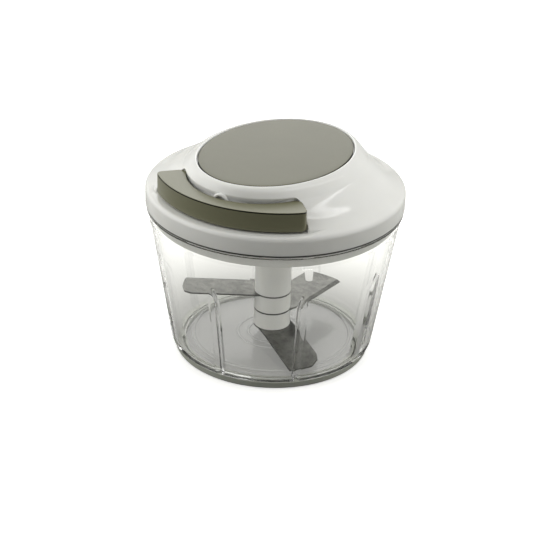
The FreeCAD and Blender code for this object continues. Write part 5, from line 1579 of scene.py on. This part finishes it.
@dataclass
class Studio:
    """White product studio: floor, surroundings, lamps and the photograph's camera."""

    azimuth: float = 30.0
    elevation: float = 26.89
    roll: float = 1.70
    distance: float = 0.9107
    lens: float = 104.73
    sensor: float = 36.0
    clip: tuple[float, float] = (0.05, 50.0)
    target: tuple[float, float, float] = (0.000935, 0.00054, 0.042016)
    table: TableTop = TableTop()
    table_radius: float = 6.0
    # Light that comes from all sides, and the least that the clear wall bends towards
    front_light: float = 0.082
    within_light: float = 0.95
    glows: tuple[Glow, ...] = (
        Glow(180, 30, 5, 24, 1.9), Glow(180, 14, 4, 22, 0.8), Glow(-100, 7, 12, 74, 1.85),
        Glow(100, 7, 12, 73, 1.5725), Glow(180, 78, 15, 60, 0.4))
    # The strip's reflection draws a line on the dome
    lamps: tuple[Lamp, ...] = (
        Lamp("soft_box_left", ((-80, 28), (-80, 28)), 0.9, 0.4, 0.4, 0.4),
        Lamp("soft_box_right", ((80, 30), (80, 30)), 0.9, 0.4, 0.4, 0.25),
        Lamp("strip_right", ((68, 68), (122, 38)), 1.0, 0.9, 0.04, 0.5))

    def build(self) -> None:
        """Make the floor, the surroundings, the lamps and the camera."""
        self.make_floor()
        self.make_surroundings()
        for lamp in self.lamps:
            self.hang(lamp)
        self.make_camera()

    def towards(self, azimuth: float, elevation: float) -> Vector:
        """Unit vector from the object towards an azimuth and elevation.

        Args:
            azimuth: Degrees from the camera's azimuth, to the right.
            elevation: Degrees above the floor.

        Returns:
            The direction.
        """
        a, e = math.radians(self.azimuth + azimuth), math.radians(elevation)
        return Vector((math.sin(a) * math.cos(e), -math.cos(a) * math.cos(e), math.sin(e)))

    def make_floor(self) -> None:
        """Lay a round white floor, a little luminous as an overlit table is."""
        mesh = bpy.data.meshes.new("floor")
        with editing(mesh) as shape:
            bmesh.ops.create_circle(shape, cap_ends=True, segments=96, radius=self.table_radius)
        floor = put_in_scene("floor", mesh)
        floor.data.materials.append(self.table.build(self.towards(0, 0)))

    def make_surroundings(self) -> None:
        """Make bright walls behind and beside the object and a dark side behind the camera."""
        world = bpy.data.worlds.new("studio")
        bpy.context.scene.world = world
        world.use_nodes = True
        tree = world.node_tree
        tree.nodes.clear()
        way = add_node(tree, "TexCoord").outputs["Generated"]
        light: bpy.types.Node | float = self.front_light
        for glow in self.glows:
            aim = self.towards(glow.azimuth, glow.elevation)
            facing = add_node(tree, "VectorMath", {0: way, 1: aim}, operation="DOT_PRODUCT")
            weight = add_node(tree, "MapRange", {
                "Value": facing, "From Min": math.cos(math.radians(glow.gone)),
                "From Max": math.cos(math.radians(glow.full))}, interpolation_type="SMOOTHSTEP")
            light = add_node(tree, "Math", {0: weight, 1: glow.strength, 2: light},
                             operation="MULTIPLY_ADD")
        # What the clear wall bends towards is never darker than the tent round the table
        path = add_node(tree, "LightPath").outputs
        within = add_node(tree, "Math", {0: path["Transmission Depth"], 1: path["Is Diffuse Ray"]},
                          operation="SUBTRACT", use_clamp=True)
        least = add_node(tree, "Math", {0: within, 1: self.within_light}, operation="MULTIPLY")
        light = add_node(tree, "Math", {0: light, 1: least}, operation="MAXIMUM")
        unlit = add_node(tree, "Background", {"Color": linear("#ffffff"), "Strength": 1.0})
        lit = add_node(tree, "Background", {"Color": linear("#fffffd"), "Strength": light})
        both = add_node(tree, "MixShader", {0: path["Is Camera Ray"], 1: lit, 2: unlit})
        add_node(tree, "OutputWorld", {"Surface": both})

    def hang(self, lamp: Lamp) -> None:
        """Hang a lamp so that it faces the chopper, level or along the line between its ends.

        Args:
            lamp: The lamp.
        """
        light = bpy.data.lights.new(lamp.name, "AREA")
        light.energy = lamp.watts
        light.shape = "RECTANGLE"
        light.size, light.size_y = lamp.length, lamp.width
        start, end = (self.towards(*spot) for spot in lamp.ends)
        aim = (start + end).normalized()
        along = end - start if lamp.ends[0] != lamp.ends[1] else Vector((0, 0, 1)).cross(aim)
        across = aim.cross(along).normalized()
        turned = Matrix((across.cross(aim), across, aim)).transposed().to_4x4()
        put_in_scene(lamp.name, light).matrix_world = (
            Matrix.Translation(Vector(self.target) + aim * lamp.distance) @ turned)

    def make_camera(self) -> None:
        """Stand the camera where the photograph was taken from."""
        camera = bpy.data.cameras.new("camera")
        camera.lens = self.lens
        camera.sensor_width = self.sensor
        camera.clip_start, camera.clip_end = self.clip
        held = put_in_scene("camera", camera)
        aim = self.towards(0, self.elevation)
        held.location = Vector(self.target) + aim * self.distance
        held.rotation_mode = "QUATERNION"
        held.rotation_quaternion = (
            aim.to_track_quat("Z", "Y") @ Quaternion((0, 0, 1), math.radians(self.roll)))
        bpy.context.scene.camera = held
        bpy.context.scene.view_settings.view_transform = "Standard"


def main() -> None:
    """Build the studio and the sub-assemblies."""
    logging.basicConfig(level=logging.INFO, format="%(message)s")
    Studio().build()
    dresser = Dresser()
    dresser.dress_nodes()
    for assembly in (Bowl(), LidShell(), TopPanel(), CordGuide(), Handle(), CordLead(),
                     LeafSprings()):
        assembly.build(dresser)


if __name__ == "__main__":
    main()
